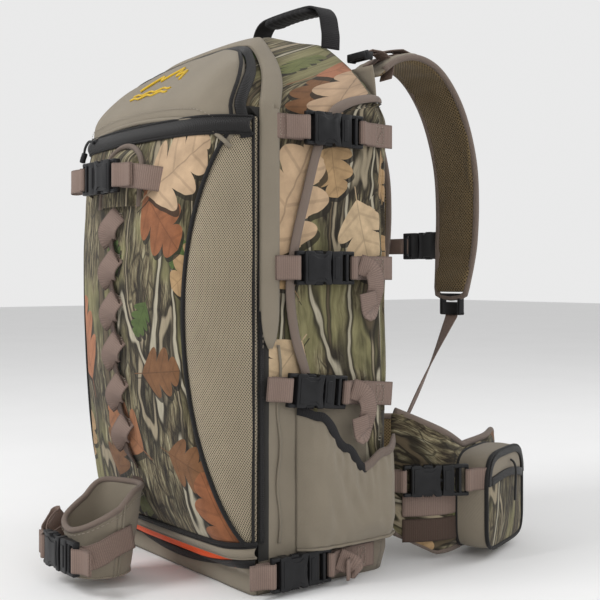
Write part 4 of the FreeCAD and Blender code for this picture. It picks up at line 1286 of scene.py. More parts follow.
def side_flaps():
    """The camouflage panel on each side, with its taped front and top edge."""
    corner = [(0.090, 0.513), (0.060, 0.507), (0.028, 0.494), (0.000, 0.474), (-0.016, 0.441),
              (-0.030, 0.395), (-0.044, 0.345), (-0.050, 0.300), (-0.044, 0.255), (-0.030, 0.213),
              (-0.026, 0.170)]
    for side, name in ((1, "right"), (-1, "left")):
        front = curve_points([(side * 0.1455, y, z) for y, z in corner], 5)
        rows = []
        for spot in front:
            row = []
            for k in range(25):
                y = spot.y + (0.091 - spot.y) * k / 24
                height = spot.z + 0.004 * k / 24 * (spot.z > 0.4)
                row.append(on_skin((side * 0.16, y, height), 0.8 * MM)[0])
            rows.append(row)

        def lift(row_share, column_share, point):
            edge = min(1.0, column_share / 0.15) * min(1.0, (1 - column_share) / 0.1)
            return 3.2 * MM * math.sin(edge * math.pi / 2) + rumple(point, 1.3 * MM, 17, 2)

        flap = grid("side_flap_" + name, rows, mats["camo"], 1.8 * MM, lift, flip=side < 0)
        place(flap, "root", "camo_fabric", "side_panel_" + name)
        tape = surface_strip("side_flap_tape_" + name, front, 9 * MM, mats["binding"], 3.0 * MM, 1.2 * MM,
                             6, 2.4 * MM)
        place(tape, "root", "plain_fabric")
        line, outs = edge_of(front, 4.5 * MM, -side, 4.3 * MM)
        place(stitches("side_flap_stitches_" + name, line, outs, mats["thread"]), "root", "plain_fabric")
        seam = [on_skin((side * 0.16, SEAM_Y + 0.024 + 0.002 * math.sin(k * 0.7), 0.050 + 0.0085 * k),
                        1.2 * MM)[0] for k in range(24)]
        place(tube("side_seam_" + name, seam, 1.5 * MM, mats["taupe"], 6), "root", "plain_fabric")


def pocket_top(y):
    """The gathered pocket's mouth: high in front, dipping, then rising to the back."""
    knots = [(-0.040, 0.182), (-0.022, 0.176), (0.010, 0.142), (0.034, 0.119), (0.060, 0.132),
             (0.092, 0.142)]
    for first, second in zip(knots, knots[1:]):
        if y <= second[0]:
            share = max(0.0, (y - first[0]) / (second[0] - first[0]))
            share = share * share * (3 - 2 * share)
            return first[1] + (second[1] - first[1]) * share
    return knots[-1][1]


def side_pockets():
    """Plain cloth pockets gathered into an elastic mouth, with folds running down from it."""
    for side, name in ((1, "right"), (-1, "left")):
        def spot(row, column, extra=0.0, ruffle=1.0):
            y = -0.040 + 0.130 * column
            top = pocket_top(y)
            z = 0.040 + (top - 0.040) * row
            swell = math.sin(min(1.0, column / 0.22) * math.pi / 2)
            swell *= math.sin(min(1.0, (1 - column) / 0.20) * math.pi / 2)
            belly = 0.5 + 0.5 * math.sin(min(1.0, row / 0.30) * math.pi / 2)
            out = 0.0245 * swell * belly * (1 - 0.32 * row ** 3)
            gather = math.sin(column * 84 + 2.2 * noise.noise(Vector((column * 7, row * 2.5, side))))
            gather *= row ** 3 * min(1.0, (1 - row) / 0.10)
            fold = noise.noise(Vector((column * 9 + row * 4.0, row * 2.2 - column * 3, 5 + side)))
            out += 1.1 * MM * ruffle * gather * swell + 3.0 * MM * fold * swell * (1 - 0.5 * row)
            return Vector((side * (HALF_WIDTH + 0.0015 + max(0.0, out) + extra), y, z))

        rows = [[spot(r / 46, c / 84) for c in range(85)] for r in range(47)]
        uvs = [[(p.y, p.z) for p in row] for row in rows]
        bag = grid("gathered_pocket_" + name, rows, mats["taupe"], 2.0 * MM, uvs=uvs, flip=side < 0)
        place(bag, "root", "plain_fabric", "side_pocket_" + name)
        mouth = [spot(1.0, c / 84, 1.2 * MM, 0.0) for c in range(85)]
        split = 50
        band = [p + Vector((0, 0, -2.5 * MM)) for p in mouth[:split]]
        outs = [Vector((side, 0, 0)) for p in band]
        widths = [9 * MM + 0.5 * MM * math.sin(k * 0.7) for k in range(len(band))]
        place(strap("pocket_elastic_" + name, band, outs, 9 * MM, 2.8 * MM, mats["black_webbing"], widths),
              "root", "black_webbing")
        tape = [p + Vector((0, 0, -1.5 * MM)) for p in mouth[split - 2:]]
        place(strap("pocket_tape_" + name, tape, Vector((side, 0, 0)), 9 * MM, 3.0 * MM, mats["binding"]),
              "root", "plain_fabric")
        foot = [spot(0.0, c / 84, 0.8 * MM) for c in range(85)]
        place(tube("pocket_foot_" + name, foot, 1.8 * MM, mats["taupe"], 6), "root", "plain_fabric")


def bottom_pocket():
    """Under the front panel: rolled lip, blaze cover showing through, black mouth tape, plain base."""
    def belt(name, low_of, high_of, grow, material, slot_name, count=5, depth=0.0, span=1.0):
        rows = []
        for r in range(count + 1):
            row = []
            for c in range(121):
                share = (c / 60 - 1) * span
                low = low_of(share)
                high = high_of(share)
                z = low + (high - low) * r / count
                swell = grow + depth * math.sin(r / count * math.pi)
                row.append(front_point(z, share * (outline_at(z)[2] - 0.001), swell))
            rows.append(row)
        sheet = grid(name, rows, material, 2.0 * MM,
                     lambda a, b, p: rumple(p, 0.8 * MM, 22, 6) if "base" in name else 0.0)
        return place(sheet, "root", slot_name)

    def mouth(share):
        return 0.036 - 0.017 * math.cos(min(1.0, abs(share) / 0.86) * math.pi / 2) ** 0.9

    base = belt("bottom_base_cloth", lambda s: 0.001, lambda s: mouth(s) - 0.004, 0.6 * MM, mats["taupe"],
                "plain_fabric", 8, 1.5 * MM)
    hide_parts("bottom_pocket")
    belt("bottom_mouth_tape", lambda s: mouth(s) - 0.006, lambda s: mouth(s) + 0.002, 2.4 * MM,
         mats["piping"], "black_webbing", 4, 0.8 * MM)
    orange = belt("blaze_folds", lambda s: 0.012, lambda s: 0.046, -3.5 * MM, mats["orange"],
                  "blaze_fabric", 10, 4.5 * MM, 0.84)
    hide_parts("blaze_cover")
    belt("bottom_lip", lambda s: 0.0395, lambda s: 0.0505, 1.0 * MM, mats["taupe"], "plain_fabric", 6,
         2.6 * MM)
    for name, z, grow, radius in (("low", 0.0395, 1.0, 1.3), ("high", 0.0506, 1.2, 1.6)):
        line = [front_point(z, (c / 60 - 1) * (outline_at(z)[2] - 0.001), grow * MM) for c in range(121)]
        finish = mats["taupe"] if name == "low" else mats["piping"]
        place(tube("bottom_lip_edge_" + name, line, radius * MM, finish, 6), "root", "plain_fabric")


# ================================================================ holder, daisy chain, boot cup

def holder():
    """The padded upper holder with its taped arch, webbing, buckle and folded tail."""
    rows = []
    for r in range(31):
        z = 0.384 + 0.064 * r / 30
        half = 0.042 * min(1.0, math.sqrt(max(0.02, 1 - max(0.0, (z - 0.420) / 0.029) ** 2)))
        rows.append([front_point(z, half * (c / 15 - 1)) for c in range(31)])

    def lift(row_share, column_share, point):
        edge = min(1.0, min(column_share, 1 - column_share) / 0.25) * min(1.0, (1 - row_share) / 0.3)
        return 1.0 * MM + 10.5 * MM * math.sin(edge * math.pi / 2) * (0.75 + 0.25 * row_share)

    pad = grid("holder_cushion", rows, mats["camo"], 1.5 * MM, lift)
    place(pad, "front_panel", "camo_fabric", "holder_pad")
    arch = []
    for k in range(41):
        angle = math.pi * k / 40
        z = 0.418 + 0.031 * math.sin(angle)
        arch.append(front_point(z, 0.042 * math.cos(angle), 4.5 * MM))
    legs = [front_point(0.384 + 0.034 * k / 8, 0.042, 3.0 * MM + 1.5 * MM * k / 8) for k in range(8)]
    other = [Vector((-p.x, p.y, p.z)) for p in legs]
    place(tube("holder_tape", legs + arch + other[::-1], 3.0 * MM, mats["binding"], 10), "front_panel",
          "plain_fabric")
    z = 0.415
    face = front_y(0.384) - 0.014
    out = Vector((0, -1, 0))
    matrix = facing((-0.008, face - 2.0 * MM, z), (-1, 0, 0), out)
    half_buckle("holder_socket_shape", "socket", matrix, "front_panel", "holder_socket")
    half_buckle("holder_tongue_shape", "tongue", matrix, "holder_buckle", "holder_tongue")
    webbing_loop("holder_fold_in", matrix, -40.5, "front_panel")
    webbing_loop("holder_fold_out", matrix, 28.5, "holder_buckle")
    right = curve_points([(0.034, face - 1.5 * MM, z), (0.050, face - 2.0 * MM, z - 0.001),
                          (0.064, face + 6 * MM, z - 0.003), (0.076, face + 24 * MM, z - 0.006)], 5)
    web = strap("holder_webbing_right", right, fold_outs(right, (0, 0, 1)), 25 * MM, 1.6 * MM,
                mats["webbing"])
    place(web, "front_panel", "webbing")
    tail = curve_points([(-0.040, face - 5 * MM, z), (-0.058, face - 8 * MM, z), (-0.074, face - 6 * MM, z),
                         (-0.0765, face - 1 * MM, z - 0.001), (-0.068, face + 1.5 * MM, z - 0.001),
                         (-0.050, face + 1 * MM, z)], 5)
    web = strap("holder_tail", tail, fold_outs(tail, (0, 0, -1)), 25 * MM, 1.6 * MM, mats["webbing"])
    place(web, "holder_buckle", "webbing")
    # the left run takes the darker webbing: painted shade where the strap wraps round toward the far side
    left = curve_points([(-0.040, face + 1.5 * MM, z - 0.001), (-0.060, face + 8 * MM, z - 0.002),
                         (-0.082, face + 24 * MM, z - 0.004)], 6)
    web = strap("holder_webbing_left", left, fold_outs(left, (0, 0, -1)), 25 * MM, 1.6 * MM,
                mats["painted_shade_webbing"])
    place(web, "front_panel", "webbing")


def daisy_chain():
    """One webbing strip that zigzags down the panel: broad slanting loops, turned on edge between them. The
    turned segments take a darker copy of the webbing, painted shade for their twist away from the light.
    """
    high = 0.378
    drop = 0.0425
    webs = {"webbing": [], "painted_shade_webbing": []}
    tacks = []
    for k in range(6):
        top = high - drop * k
        # the first entry is a turned segment in the painted-shade webbing, the second a broad loop facing
        # out
        for finish, start, end, first, last, rise, width in (
                ("painted_shade_webbing", 0.022, 0.050, -8, 8, 3.0, 13), ("webbing", 0.0, 0.031, 8, -7, 9.0, 21)):
            path = []
            outs = []
            for n in range(15):
                share = n / 14
                eased = share * share * (3 - 2 * share)
                swell = math.sin(share * math.pi) ** 0.7
                z = top - start - (end - start) * share
                across = first + (last - first) * eased
                path.append(front_point(z, across * MM, (3.6 + rise * swell) * MM))
                lean = 0.35 * math.sin(share * math.tau)
                outs.append(Vector((0.6 if rise > 5 else -0.4, -1, lean)))
            webs[finish].append(strap("loop", path, outs, width * MM, 1.6 * MM, mats[finish]))
        for line in (-1.2, 1.2):
            tacks.append([front_point(top - 0.001 + line * MM, (8 + x) * MM, 5.2 * MM)
                          for x in (-9, -5, -1, 3, 7)])
    # the turned segments take the painted-shade copy of the webbing
    chain = joined("daisy_webbing_front", webs["webbing"])
    place(joined("daisy_webbing_back_painted_shade", webs["painted_shade_webbing"]), "front_panel", "webbing")
    place(chain, "front_panel", "webbing", "front_webbing")
    items = [stitches("tack", line, (0, -1, 0), mats["thread"], 2.6 * MM, 0.6 * MM) for line in tacks]
    place(joined("daisy_tacks", items), "front_panel", "webbing")


CUP_Y = -0.182


def cup_rim(y):
    near = max(0.0, min(1.0, (y - (CUP_Y + 0.000)) / 0.026))
    near = near * near * (3 - 2 * near)
    low = 0.080 + (y - CUP_Y) * 0.50
    return low + (0.0965 - low) * near


def cup_point(angle, share, grow=0.0):
    """A point of the cup's wall; share runs from its floor to the rim."""
    y_rim = CUP_Y + 0.043 * math.sin(angle)
    z = 0.011 + (cup_rim(y_rim) - 0.011) * share
    radius = 0.030 + 0.013 * min(1.0, (z - 0.010) / 0.086) + grow
    radius += 0.9 * MM * math.sin(angle * 5 + 1) * share
    return Vector((radius * math.cos(angle), CUP_Y + radius * math.sin(angle), z))


def boot_cup():
    """The fold-out cup: scooped front, taped rim, webbing round it, buckle and bundled tail."""
    rows = []
    for r in range(25):
        rows.append([cup_point(math.tau * c / 72, r / 24) for c in range(73)])
    uvs = [[(0.038 * math.tau * c / 72, p.z) for c, p in enumerate(row)] for row in rows]
    wall = grid("cup_wall", rows, mats["taupe"], 3.0 * MM, uvs=uvs,
                lift=lambda a, b, p: rumple(p, 0.9 * MM, 30, 3))
    place(wall, "boot_cup", "plain_fabric", "boot_cup")
    turns = [math.tau * c / 48 for c in range(49)]
    rings = [[Vector((0.031 * s * math.cos(a), CUP_Y + 0.031 * s * math.sin(a), 0.0125 + 0.001 * (1 - s)))
              for a in turns] for s in (1.0, 0.6, 0.3, 0.02)]
    place(grid("cup_floor", rings, mats["taupe"], 2.0 * MM), "boot_cup", "plain_fabric")
    rim = [cup_point(math.tau * k / 72, 1.0, -1.5 * MM) for k in range(72)]
    place(tube("cup_rim_tape", rim, 3.2 * MM, mats["binding"], 10, True), "boot_cup", "plain_fabric")
    seam = [cup_point(math.tau * k / 160, 0.90, 1.4 * MM) for k in range(161)]
    place(stitches("cup_rim_stitches", seam, [Vector((p.x, p.y - CUP_Y, 0)).normalized() for p in seam],
                   mats["thread"]), "boot_cup", "plain_fabric")
    for k, angle in enumerate((0.15, math.pi - 0.15)):
        line = [cup_point(angle, j / 12, 0.8 * MM) for j in range(13)]
        place(tube("cup_side_seam_%d" % k, line, 1.3 * MM, mats["taupe"], 6), "boot_cup", "plain_fabric")
    # the hanger takes the darker webbing: painted shade where it runs behind the cup's rim
    lug = [(0, -0.1400, 0.0925), (0, -0.1385, 0.1010), (0, front_y(0.112) - 1.5 * MM, 0.112)]
    path = curve_points(lug, 6)
    place(strap("cup_hanger", path, (0, -1, 0), 24 * MM, 1.8 * MM, mats["painted_shade_webbing"]), "boot_cup",
          "webbing")
    z = 0.036
    face = CUP_Y - 0.036
    out = Vector((0, -1, 0))
    matrix = facing((0.006, face - 2.0 * MM, z), (1, 0, 0), out)
    half_buckle("cup_socket_shape", "socket", matrix, "boot_cup", "cup_socket")
    half_buckle("cup_tongue_shape", "tongue", matrix, "cup_buckle", "cup_tongue")
    webbing_loop("cup_fold_in", matrix, -40.5, "boot_cup")
    webbing_loop("cup_fold_out", matrix, 28.5, "cup_buckle")
    pieces = []
    for side in (1, -1):
        knots = [(side * 0.034, face - 1.5 * MM, z), (side * 0.040, face + 5 * MM, z + 0.001),
                 (side * 0.043, face + 18 * MM, z + 0.005), (side * 0.0415, CUP_Y - 0.004, z + 0.010),
                 (side * 0.037, CUP_Y + 0.018, z + 0.015)]
        path = curve_points(knots, 6)
        pieces.append(strap("web", path, fold_outs(path, (0, 0, side)), 25 * MM, 1.6 * MM,
                            mats["webbing"]))
    place(joined("cup_webbing_shape", pieces), "boot_cup", "webbing", "cup_webbing")
    knots = [(-0.036, face - 5 * MM, z), (-0.050, face - 4 * MM, z + 0.004),
             (-0.058, face + 6 * MM, z + 0.012),
             (-0.062, face + 16 * MM, z + 0.020), (-0.058, face + 18 * MM, z + 0.021),
             (-0.054, face + 8 * MM, z + 0.012), (-0.050, face + 3 * MM, z + 0.006),
             (-0.055, face + 14 * MM, z + 0.014), (-0.058, face + 24 * MM, z + 0.023)]
    path = curve_points(knots, 6)
    place(strap("cup_tail", path, fold_outs(path, (0, 0.1, -1)), 24 * MM, 1.6 * MM, mats["webbing"]),
          "boot_cup", "webbing")


# ================================================================ carrying gear

def cushion(name, centers, sides, outs, widths, depths, outer, inner, around=40, creases=()):
    """A padded strip: its section is a soft rectangle and both ends close round."""
    verts = []
    uvs = []
    count = len(centers)
    travelled = 0.0
    for index, center in enumerate(centers):
        near = min(index, count - 1 - index) / 4
        taper = math.sqrt(max(0.03, min(1.0, 1 - (1 - min(near, 1.0)) ** 2)))
        for k in range(around):
            angle = math.tau * k / around
            c, s = math.cos(angle), math.sin(angle)
            across = math.copysign(abs(c) ** 0.55, c) * widths[index] / 2 * (0.86 + 0.14 * taper)
            up = math.copysign(abs(s) ** 0.8, s) * depths[index] / 2 * taper
            dent = sum(math.exp(-((index / count - spot) / 0.012) ** 2) for spot in creases)
            if s < 0:
                up *= 1 - 0.45 * dent
            spot = center + sides[index] * across + outs[index] * up
            spot += outs[index] * rumple(spot, 0.9 * MM, 24, 8)
            verts.append(spot)
            uvs.append((across, travelled))
        if index + 1 < count:
            travelled += (centers[index + 1] - center).length
    faces = []
    kinds = []
    for r in range(count - 1):
        for k in range(around):
            faces.append((r * around + k, r * around + (k + 1) % around,
                          (r + 1) * around + (k + 1) % around, (r + 1) * around + k))
            kinds.append(0 if k < around // 2 else 1)
    faces.append(tuple(range(around))[::-1])
    faces.append(tuple((count - 1) * around + k for k in range(around)))
    kinds += [0, 0]
    item = new_object(name, verts, faces, [outer, inner], uvs)
    item.data.polygons.foreach_set("material_index", kinds)
    return item


def quilted(item, pressure=3.0, frames=16):
    """Lets the cushion's cloth settle under its filling: a short pressure simulation, then each point's move
    is held to 2.2 mm.
    """
    rest = [v.co.copy() for v in item.data.vertices]
    cloth = item.modifiers.new("cloth", "CLOTH")
    settings = cloth.settings
    settings.quality = 5
    settings.mass = 0.3
    settings.tension_stiffness = 25
    settings.compression_stiffness = 25
    settings.bending_stiffness = 0.6
    settings.use_pressure = True
    settings.uniform_pressure_force = pressure
    settings.effector_weights.gravity = 0
    settings.shrink_min = -0.03
    cloth.point_cache.frame_start = 1
    cloth.point_cache.frame_end = frames
    cloth.collision_settings.use_collision = False
    for frame_number in range(1, frames + 1):
        scene.frame_set(frame_number)
    apply_modifiers(item)
    limit = 2.2 * MM
    for vertex, start in zip(item.data.vertices, rest):
        move = vertex.co - start
        if move.length > limit:
            vertex.co = start + move * (limit / move.length)
    scene.frame_set(1)


# the shoulder straps' middle line from the yoke over the shoulder and down: Y and Z in millimetres
STRAP_LINE = [(104, 538), (132, 557), (166, 562), (200, 547), (231, 508), (251, 452), (256, 396),
              (253, 340), (246, 294)]


def shoulder_straps():
    """Padded straps: mesh inside, cloth outside, taped edges, webbing, ladder locks, chest strap."""
    flat = curve_points([(0, y * MM, z * MM) for y, z in STRAP_LINE], 8)
    count = len(flat)
    outs = []
    for index in range(count):
        run = (flat[min(index + 1, count - 1)] - flat[max(index - 1, 0)]).normalized()
        outs.append(Vector((1, 0, 0)).cross(run))
    for side, name in ((1, "right"), (-1, "left")):
        x = side * 0.078
        body = "shoulder_" + name
        centers = [p + Vector((x, 0, 0)) for p in flat]
        shares = [k / (count - 1) for k in range(count)]
        widths = [0.060 + 0.006 * math.sin(s * math.pi) - 0.010 * max(0, s - 0.85) / 0.15 for s in shares]
        depths = [0.0135 - 0.003 * (1 - math.sin(s * math.pi)) for s in shares]
        pad = cushion("strap_pad_" + name, centers, [Vector((1, 0, 0))] * count, outs, widths, depths,
                      mats["taupe"], mats["pad_mesh"], 40, (0.42, 0.86))
        quilted(pad)
        place(pad, body, "pad_mesh", "shoulder_pad_" + name)
        loop = []
        for k in range(2, count - 1):
            loop.append(centers[k] + Vector((widths[k] / 2 - 0.5 * MM, 0, 0)))
        ends = [centers[-1] + Vector((widths[-1] / 2 * math.cos(a), 0, -7 * MM * math.sin(a)))
                for a in (0.4, 0.9, 1.57, 2.24, 2.74)]
        back = [centers[k] - Vector((widths[k] / 2 - 0.5 * MM, 0, 0)) for k in range(count - 2, 1, -1)]
        edge = loop + ends + back
        place(tube("strap_tape_" + name, edge, 3.6 * MM, mats["binding"], 10), body, "plain_fabric")
        path = [centers[k] + outs[k] * (depths[k] / 2 + 0.6 * MM) for k in range(4, count - 1)]
        web = strap("strap_webbing_" + name, path, [outs[k] for k in range(4, count - 1)], 20 * MM,
                    1.6 * MM, mats["webbing"])
        place(web, body, "webbing")
        lock_y, lock_z = 0.246, 0.293
        plates = [(rect(-26, -1, 12.5, 17), 0.0, 8.0, 1.3), (rect(-26, -1, -17, -12.5), 0.0, 8.0, 1.3),
                  (rect(-26.5, -22.5, -17, 17), 0.5, 8.5, 1.5), (rect(-15.5, -11, -15, 15), 1.5, 9.0, 1.5),
                  (rect(-5.5, -0.5, -17, 17), 0.0, 7.5, 1.3), (rect(-25, -11, -12, 12), 0.2, 1.6, 0.5)]
        mesh = moulding("lock", plates)
        mesh.transform(facing((x, lock_y - 3.0 * MM, lock_z), (0, 0, 1), (0, 1, 0)))
        lock = bpy.data.objects.new("ladder_lock_shape_" + name, mesh)
        scene.collection.objects.link(lock)
        place(lock, body, "buckle_plastic", "ladder_lock_" + name)
        low = Vector((side * 0.106, 0.099, 0.085))
        high = Vector((x, 0.246, 0.264))
        drop = [low.lerp(high, k / 24) + Vector((0, 0, -0.004 * math.sin(math.pi * k / 24)))
                for k in range(25)]
        drop += [Vector((x, 0.2478, 0.272)), Vector((x, 0.2515, 0.281))]
        facings = []
        for k in range(len(drop)):
            turn = 0.9 * math.sin(math.pi * min(1.0, k / 24)) * side
            facings.append(Vector((math.sin(turn), 0.77 * math.cos(turn), -0.63 * math.cos(turn))))
        tail = strap("lower_strap_" + name, drop, facings, 19 * MM, 1.6 * MM, mats["webbing"])
        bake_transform(tail)
        if side > 0:
            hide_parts("lower_webbing")
        start = Vector((side * 0.088, 0.098, 0.5595))
        end = Vector((side * 0.080, 0.156, 0.5745))
        load = [start.lerp(end, k / 10) + Vector((0, 0, 1.5 * MM * math.sin(math.pi * k / 10)))
                for k in range(11)]
        load += [Vector((side * 0.079, 0.172, 0.5712)), Vector((side * 0.0785, 0.186, 0.5655))]
        lifter = strap("load_lifter_" + name, load, (0, -0.25, 1), 20 * MM, 1.6 * MM, mats["webbing"])
        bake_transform(lifter)
        if side > 0:
            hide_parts("load_lifters")
        hanging = curve_points([(side * 0.090, 0.103, 0.566), (side * 0.092, 0.118, 0.564),
                                (side * 0.095, 0.128, 0.552), (side * 0.096, 0.124, 0.535)], 5)
        place(strap("lifter_tail_" + name, hanging, fold_outs(hanging, (-1, 0, 0)), 20 * MM, 1.5 * MM,
                    mats["webbing"]), "root", "webbing")
        y = 0.2625
        start = Vector((side * 0.074, y - 1 * MM, 0.352))
        finish = side * (0.040 if side > 0 else 0.028)
        chest = curve_points([start, (side * 0.060, y + 1 * MM, 0.352), (finish, y + 2.0 * MM, 0.352)], 6)
        place(strap("chest_webbing_" + name, chest, (0, 1, 0), 20 * MM, 1.6 * MM, mats["webbing"]), body,
              "webbing", "sternum_webbing_" + name)
    matrix = facing((0, 0.2645, 0.352), (-1, 0, 0), (0, 1, 0))
    half_buckle("chest_socket_shape", "socket", matrix, "shoulder_right", "sternum_socket")
    half_buckle("chest_tongue_shape", "tongue", matrix, "sternum_buckle", "sternum_tongue")
    webbing_loop("chest_fold_in", matrix, -40.5, "shoulder_right", width=20)
    webbing_loop("chest_fold_out", matrix, 28.5, "sternum_buckle", width=20)
    pieces = []
    for side in (1, -1):
        plates = [(rect(-16, -12.5, -10, 1), 0, 9, 1.2), (rect(12.5, 16, -10, 1), 0, 9, 1.2),
                  (rect(-16, 16, -10.5, -7), 1, 9.5, 1.4), (rect(-16, 16, -2, 1.5), 1, 9.5, 1.4),
                  (rect(-14, 14, -6, -3), 3, 11, 1.3)]
        mesh = moulding("adjuster", plates)
        mesh.transform(Matrix.Translation((side * 0.090, 0.0955, 0.553)))
        item = bpy.data.objects.new("adjuster", mesh)
        scene.collection.objects.link(item)
        pieces.append(item)
    place(joined("lifter_adjuster_shapes", pieces), "root", "buckle_plastic", "lifter_adjusters")
    rows = []
    for r in range(9):
        z = 0.508 + 0.038 * r / 8
        rows.append([Vector((0.112 * (c / 30 - 1), back_at(z) + 2.0 * MM, z)) for c in range(61)])
    band = grid("strap_yoke_cloth", rows, mats["taupe"], 2.0 * MM, pillow(2.0 * MM, 0.15), flip=True)
    place(band, "root", "plain_fabric", "strap_yoke")


def grab_handle():
    """An arch of black webbing with a stitched grip round its top."""
    y = 0.066
    low = 0.5675
    top = 0.6190
    half = [(0.0685, low), (0.0690, low + 0.014), (0.0675, 0.590), (0.0630, 0.606), (0.0510, top - 0.003),
            (0.0280, top)]
    knots = [(-x, z) for x, z in half] + half[::-1]
    path = curve_points([(x, y, z) for x, z in knots], 6)
    web = strap("handle_webbing_shape", path, fold_outs(path, (0, -1, 0)), 25 * MM, 2.6 * MM,
                mats["black_webbing"])
    place(web, "grab_handle", "black_webbing", "grab_handle_webbing")
    rings = []
    for k in range(45):
        x = -0.046 + 0.092 * k / 44
        near = min(k, 44 - k) / 4
        swell = math.sqrt(max(0.1, min(1.0, 1 - (1 - min(near, 1)) ** 2)))
        ring = []
        for j in range(25):
            angle = math.tau * j / 24
            c, s = math.cos(angle), math.sin(angle)
            wrinkle = 0.35 * MM * math.sin(k * 1.4 + 0.6 * math.sin(angle))
            deep = (13.5 * MM * swell + wrinkle) * math.copysign(abs(c) ** 0.7, c)
            tall = (5.0 * MM * swell + wrinkle) * math.copysign(abs(s) ** 0.8, s)
            ring.append(Vector((x, y + deep, top - 2.5 * MM + tall - 2.5 * MM * (2 * k / 44 - 1) ** 2)))
        rings.append(ring)
    uvs = [[(j * 2.2 * MM, k * 2.0 * MM) for j in range(25)] for k in range(45)]
    grip = grid("handle_grip_shape", rings, mats["black_webbing"], 0.0, uvs=uvs)
    place(grip, "grab_handle", "black_webbing", "grab_handle_grip")


def back_padding():
    """Two long pads and a lumbar pad of spacer mesh, with taped edges."""
    def pad(name, low, high, half, thickness, center_x, node):
        count = 40
        centers = []
        for k in range(count):
            z = low + (high - low) * k / (count - 1)
            centers.append(Vector((center_x, back_at(z) + thickness / 2 + 0.5 * MM, z)))
        item = cushion(name, centers, [Vector((-1, 0, 0))] * count, [Vector((0, 1, 0))] * count,
                       [2 * half] * count, [thickness] * count, mats["pad_mesh"], mats["taupe"], 44)
        quilted(item)
        place(item, "root", "pad_mesh", *node)
        ring = []
        for k in range(60):
            angle = math.tau * k / 60
            c, s = math.cos(angle), math.sin(angle)
            z = (low + high) / 2 + math.copysign(abs(s) ** 0.35, s) * (high - low) / 2 * 0.99
            ring.append(Vector((center_x + math.copysign(abs(c) ** 0.35, c) * half * 0.99,
                                back_at(z) + 2.2 * MM, z)))
        place(tube(name + "_tape", ring, 3.0 * MM, mats["binding"], 8, True), "root", "plain_fabric")

    pad("back_pad_right", 0.205, 0.500, 0.040, 0.0155, 0.060, ["back_pads"])
    pad("back_pad_left", 0.205, 0.500, 0.040, 0.0155, -0.060, [])
    pad("lumbar_cushion", 0.050, 0.180, 0.092, 0.0190, 0.0, ["lumbar_pad"])


WING_LINE = [(127, 104), (145, 136), (151, 168), (131, 220), (108, 272), (78, 316)]


def wing_span(y):
    low = 0.040 - 0.032 * max(0.0, min(1.0, (y - 0.090) / 0.060))
    high = 0.170 - 0.046 * max(0.0, min(1.0, (y - 0.104) / 0.096))
    return low + 1.5 * MM, high - 1.5 * MM


def hip_belt():
    """Padded wings with taped edges, a stabiliser strap and buckle, and a zip pocket on each."""
    for side, name in ((1, "right"), (-1, "left")):
        body = "hip_" + name
        flat = curve_points([(side * x * MM, y * MM, 0) for x, y in WING_LINE], 10)
        count = len(flat)
        centers = []
        outs = []
        widths = []
        for index, point in enumerate(flat):
            low, high = wing_span(point.y)
            centers.append(Vector((point.x, point.y, (low + high) / 2)))
            widths.append(high - low)
            run = (flat[min(index + 1, count - 1)] - flat[max(index - 1, 0)]).normalized()
            outs.append(Vector((run.y, -run.x, 0)) * side)
        depths = [11.5 * MM] * count
        wing = cushion("belt_wing_" + name, centers, [Vector((0, 0, side))] * count, outs, widths, depths,
                       mats["camo_plain"], mats["pad_mesh"], 48)
        quilted(wing)
        place(wing, body, "camo_fabric", "hip_wing_" + name)
        upper = [centers[k] + Vector((0, 0, widths[k] / 2 - 1 * MM)) for k in range(1, count - 1)]
        lower = [centers[k] - Vector((0, 0, widths[k] / 2 - 1 * MM)) for k in range(1, count - 1)]
        nose = []
        for k in range(1, 8):
            angle = math.pi * k / 8
            nose.append(centers[-1] + Vector((-side * 6 * MM * math.sin(angle), 6 * MM * math.sin(angle),
                                              widths[-1] / 2 * math.cos(angle))))
        place(tube("belt_tape_" + name, upper + nose + lower[::-1], 4.0 * MM, mats["binding"], 10), body,
              "plain_fabric")
        start = Vector((side * 0.127, 0.104, 0))
        run = Vector((side * 18, 32, 0)).normalized()
        out = Vector((run.y * side, -run.x * side, 0))
        mouth = start + run * 52 * MM + out * 11.5 * MM + Vector((0, 0, 0.092))
        matrix = facing(mouth, run, out)
        mesh = buckle_meshes["socket"].copy()
        other = buckle_meshes["tongue"].copy()
        made = []
        for kind, part in (("socket", mesh), ("tongue", other)):
            part.transform(matrix)
            item = bpy.data.objects.new(kind, part)
            scene.collection.objects.link(item)
            made.append(item)
        place(joined("belt_buckle_" + name, made), body, "buckle_plastic", "hip_buckle_" + name)
        webbing_loop("belt_fold_in_" + name, matrix, -40.5, body)
        webbing_loop("belt_fold_out_" + name, matrix, 28.5, body)
        # the lower strap takes the darker webbing: painted shade on the lower run
        for level, z, tone in (("upper", 0.064, "webbing"), ("lower", 0.036, "painted_shade_webbing")):
            path = []
            path_outs = []
            for k in range(3, 26):
                path.append(Vector((centers[k].x, centers[k].y, z)) + outs[k] * 8.0 * MM)
                path_outs.append(outs[k])
            web = strap("belt_webbing_%s_%s" % (level, name), path, path_outs, 25 * MM, 1.6 * MM, mats[tone])
            place(web, body, "webbing")
        hip_pocket(side, name, body)


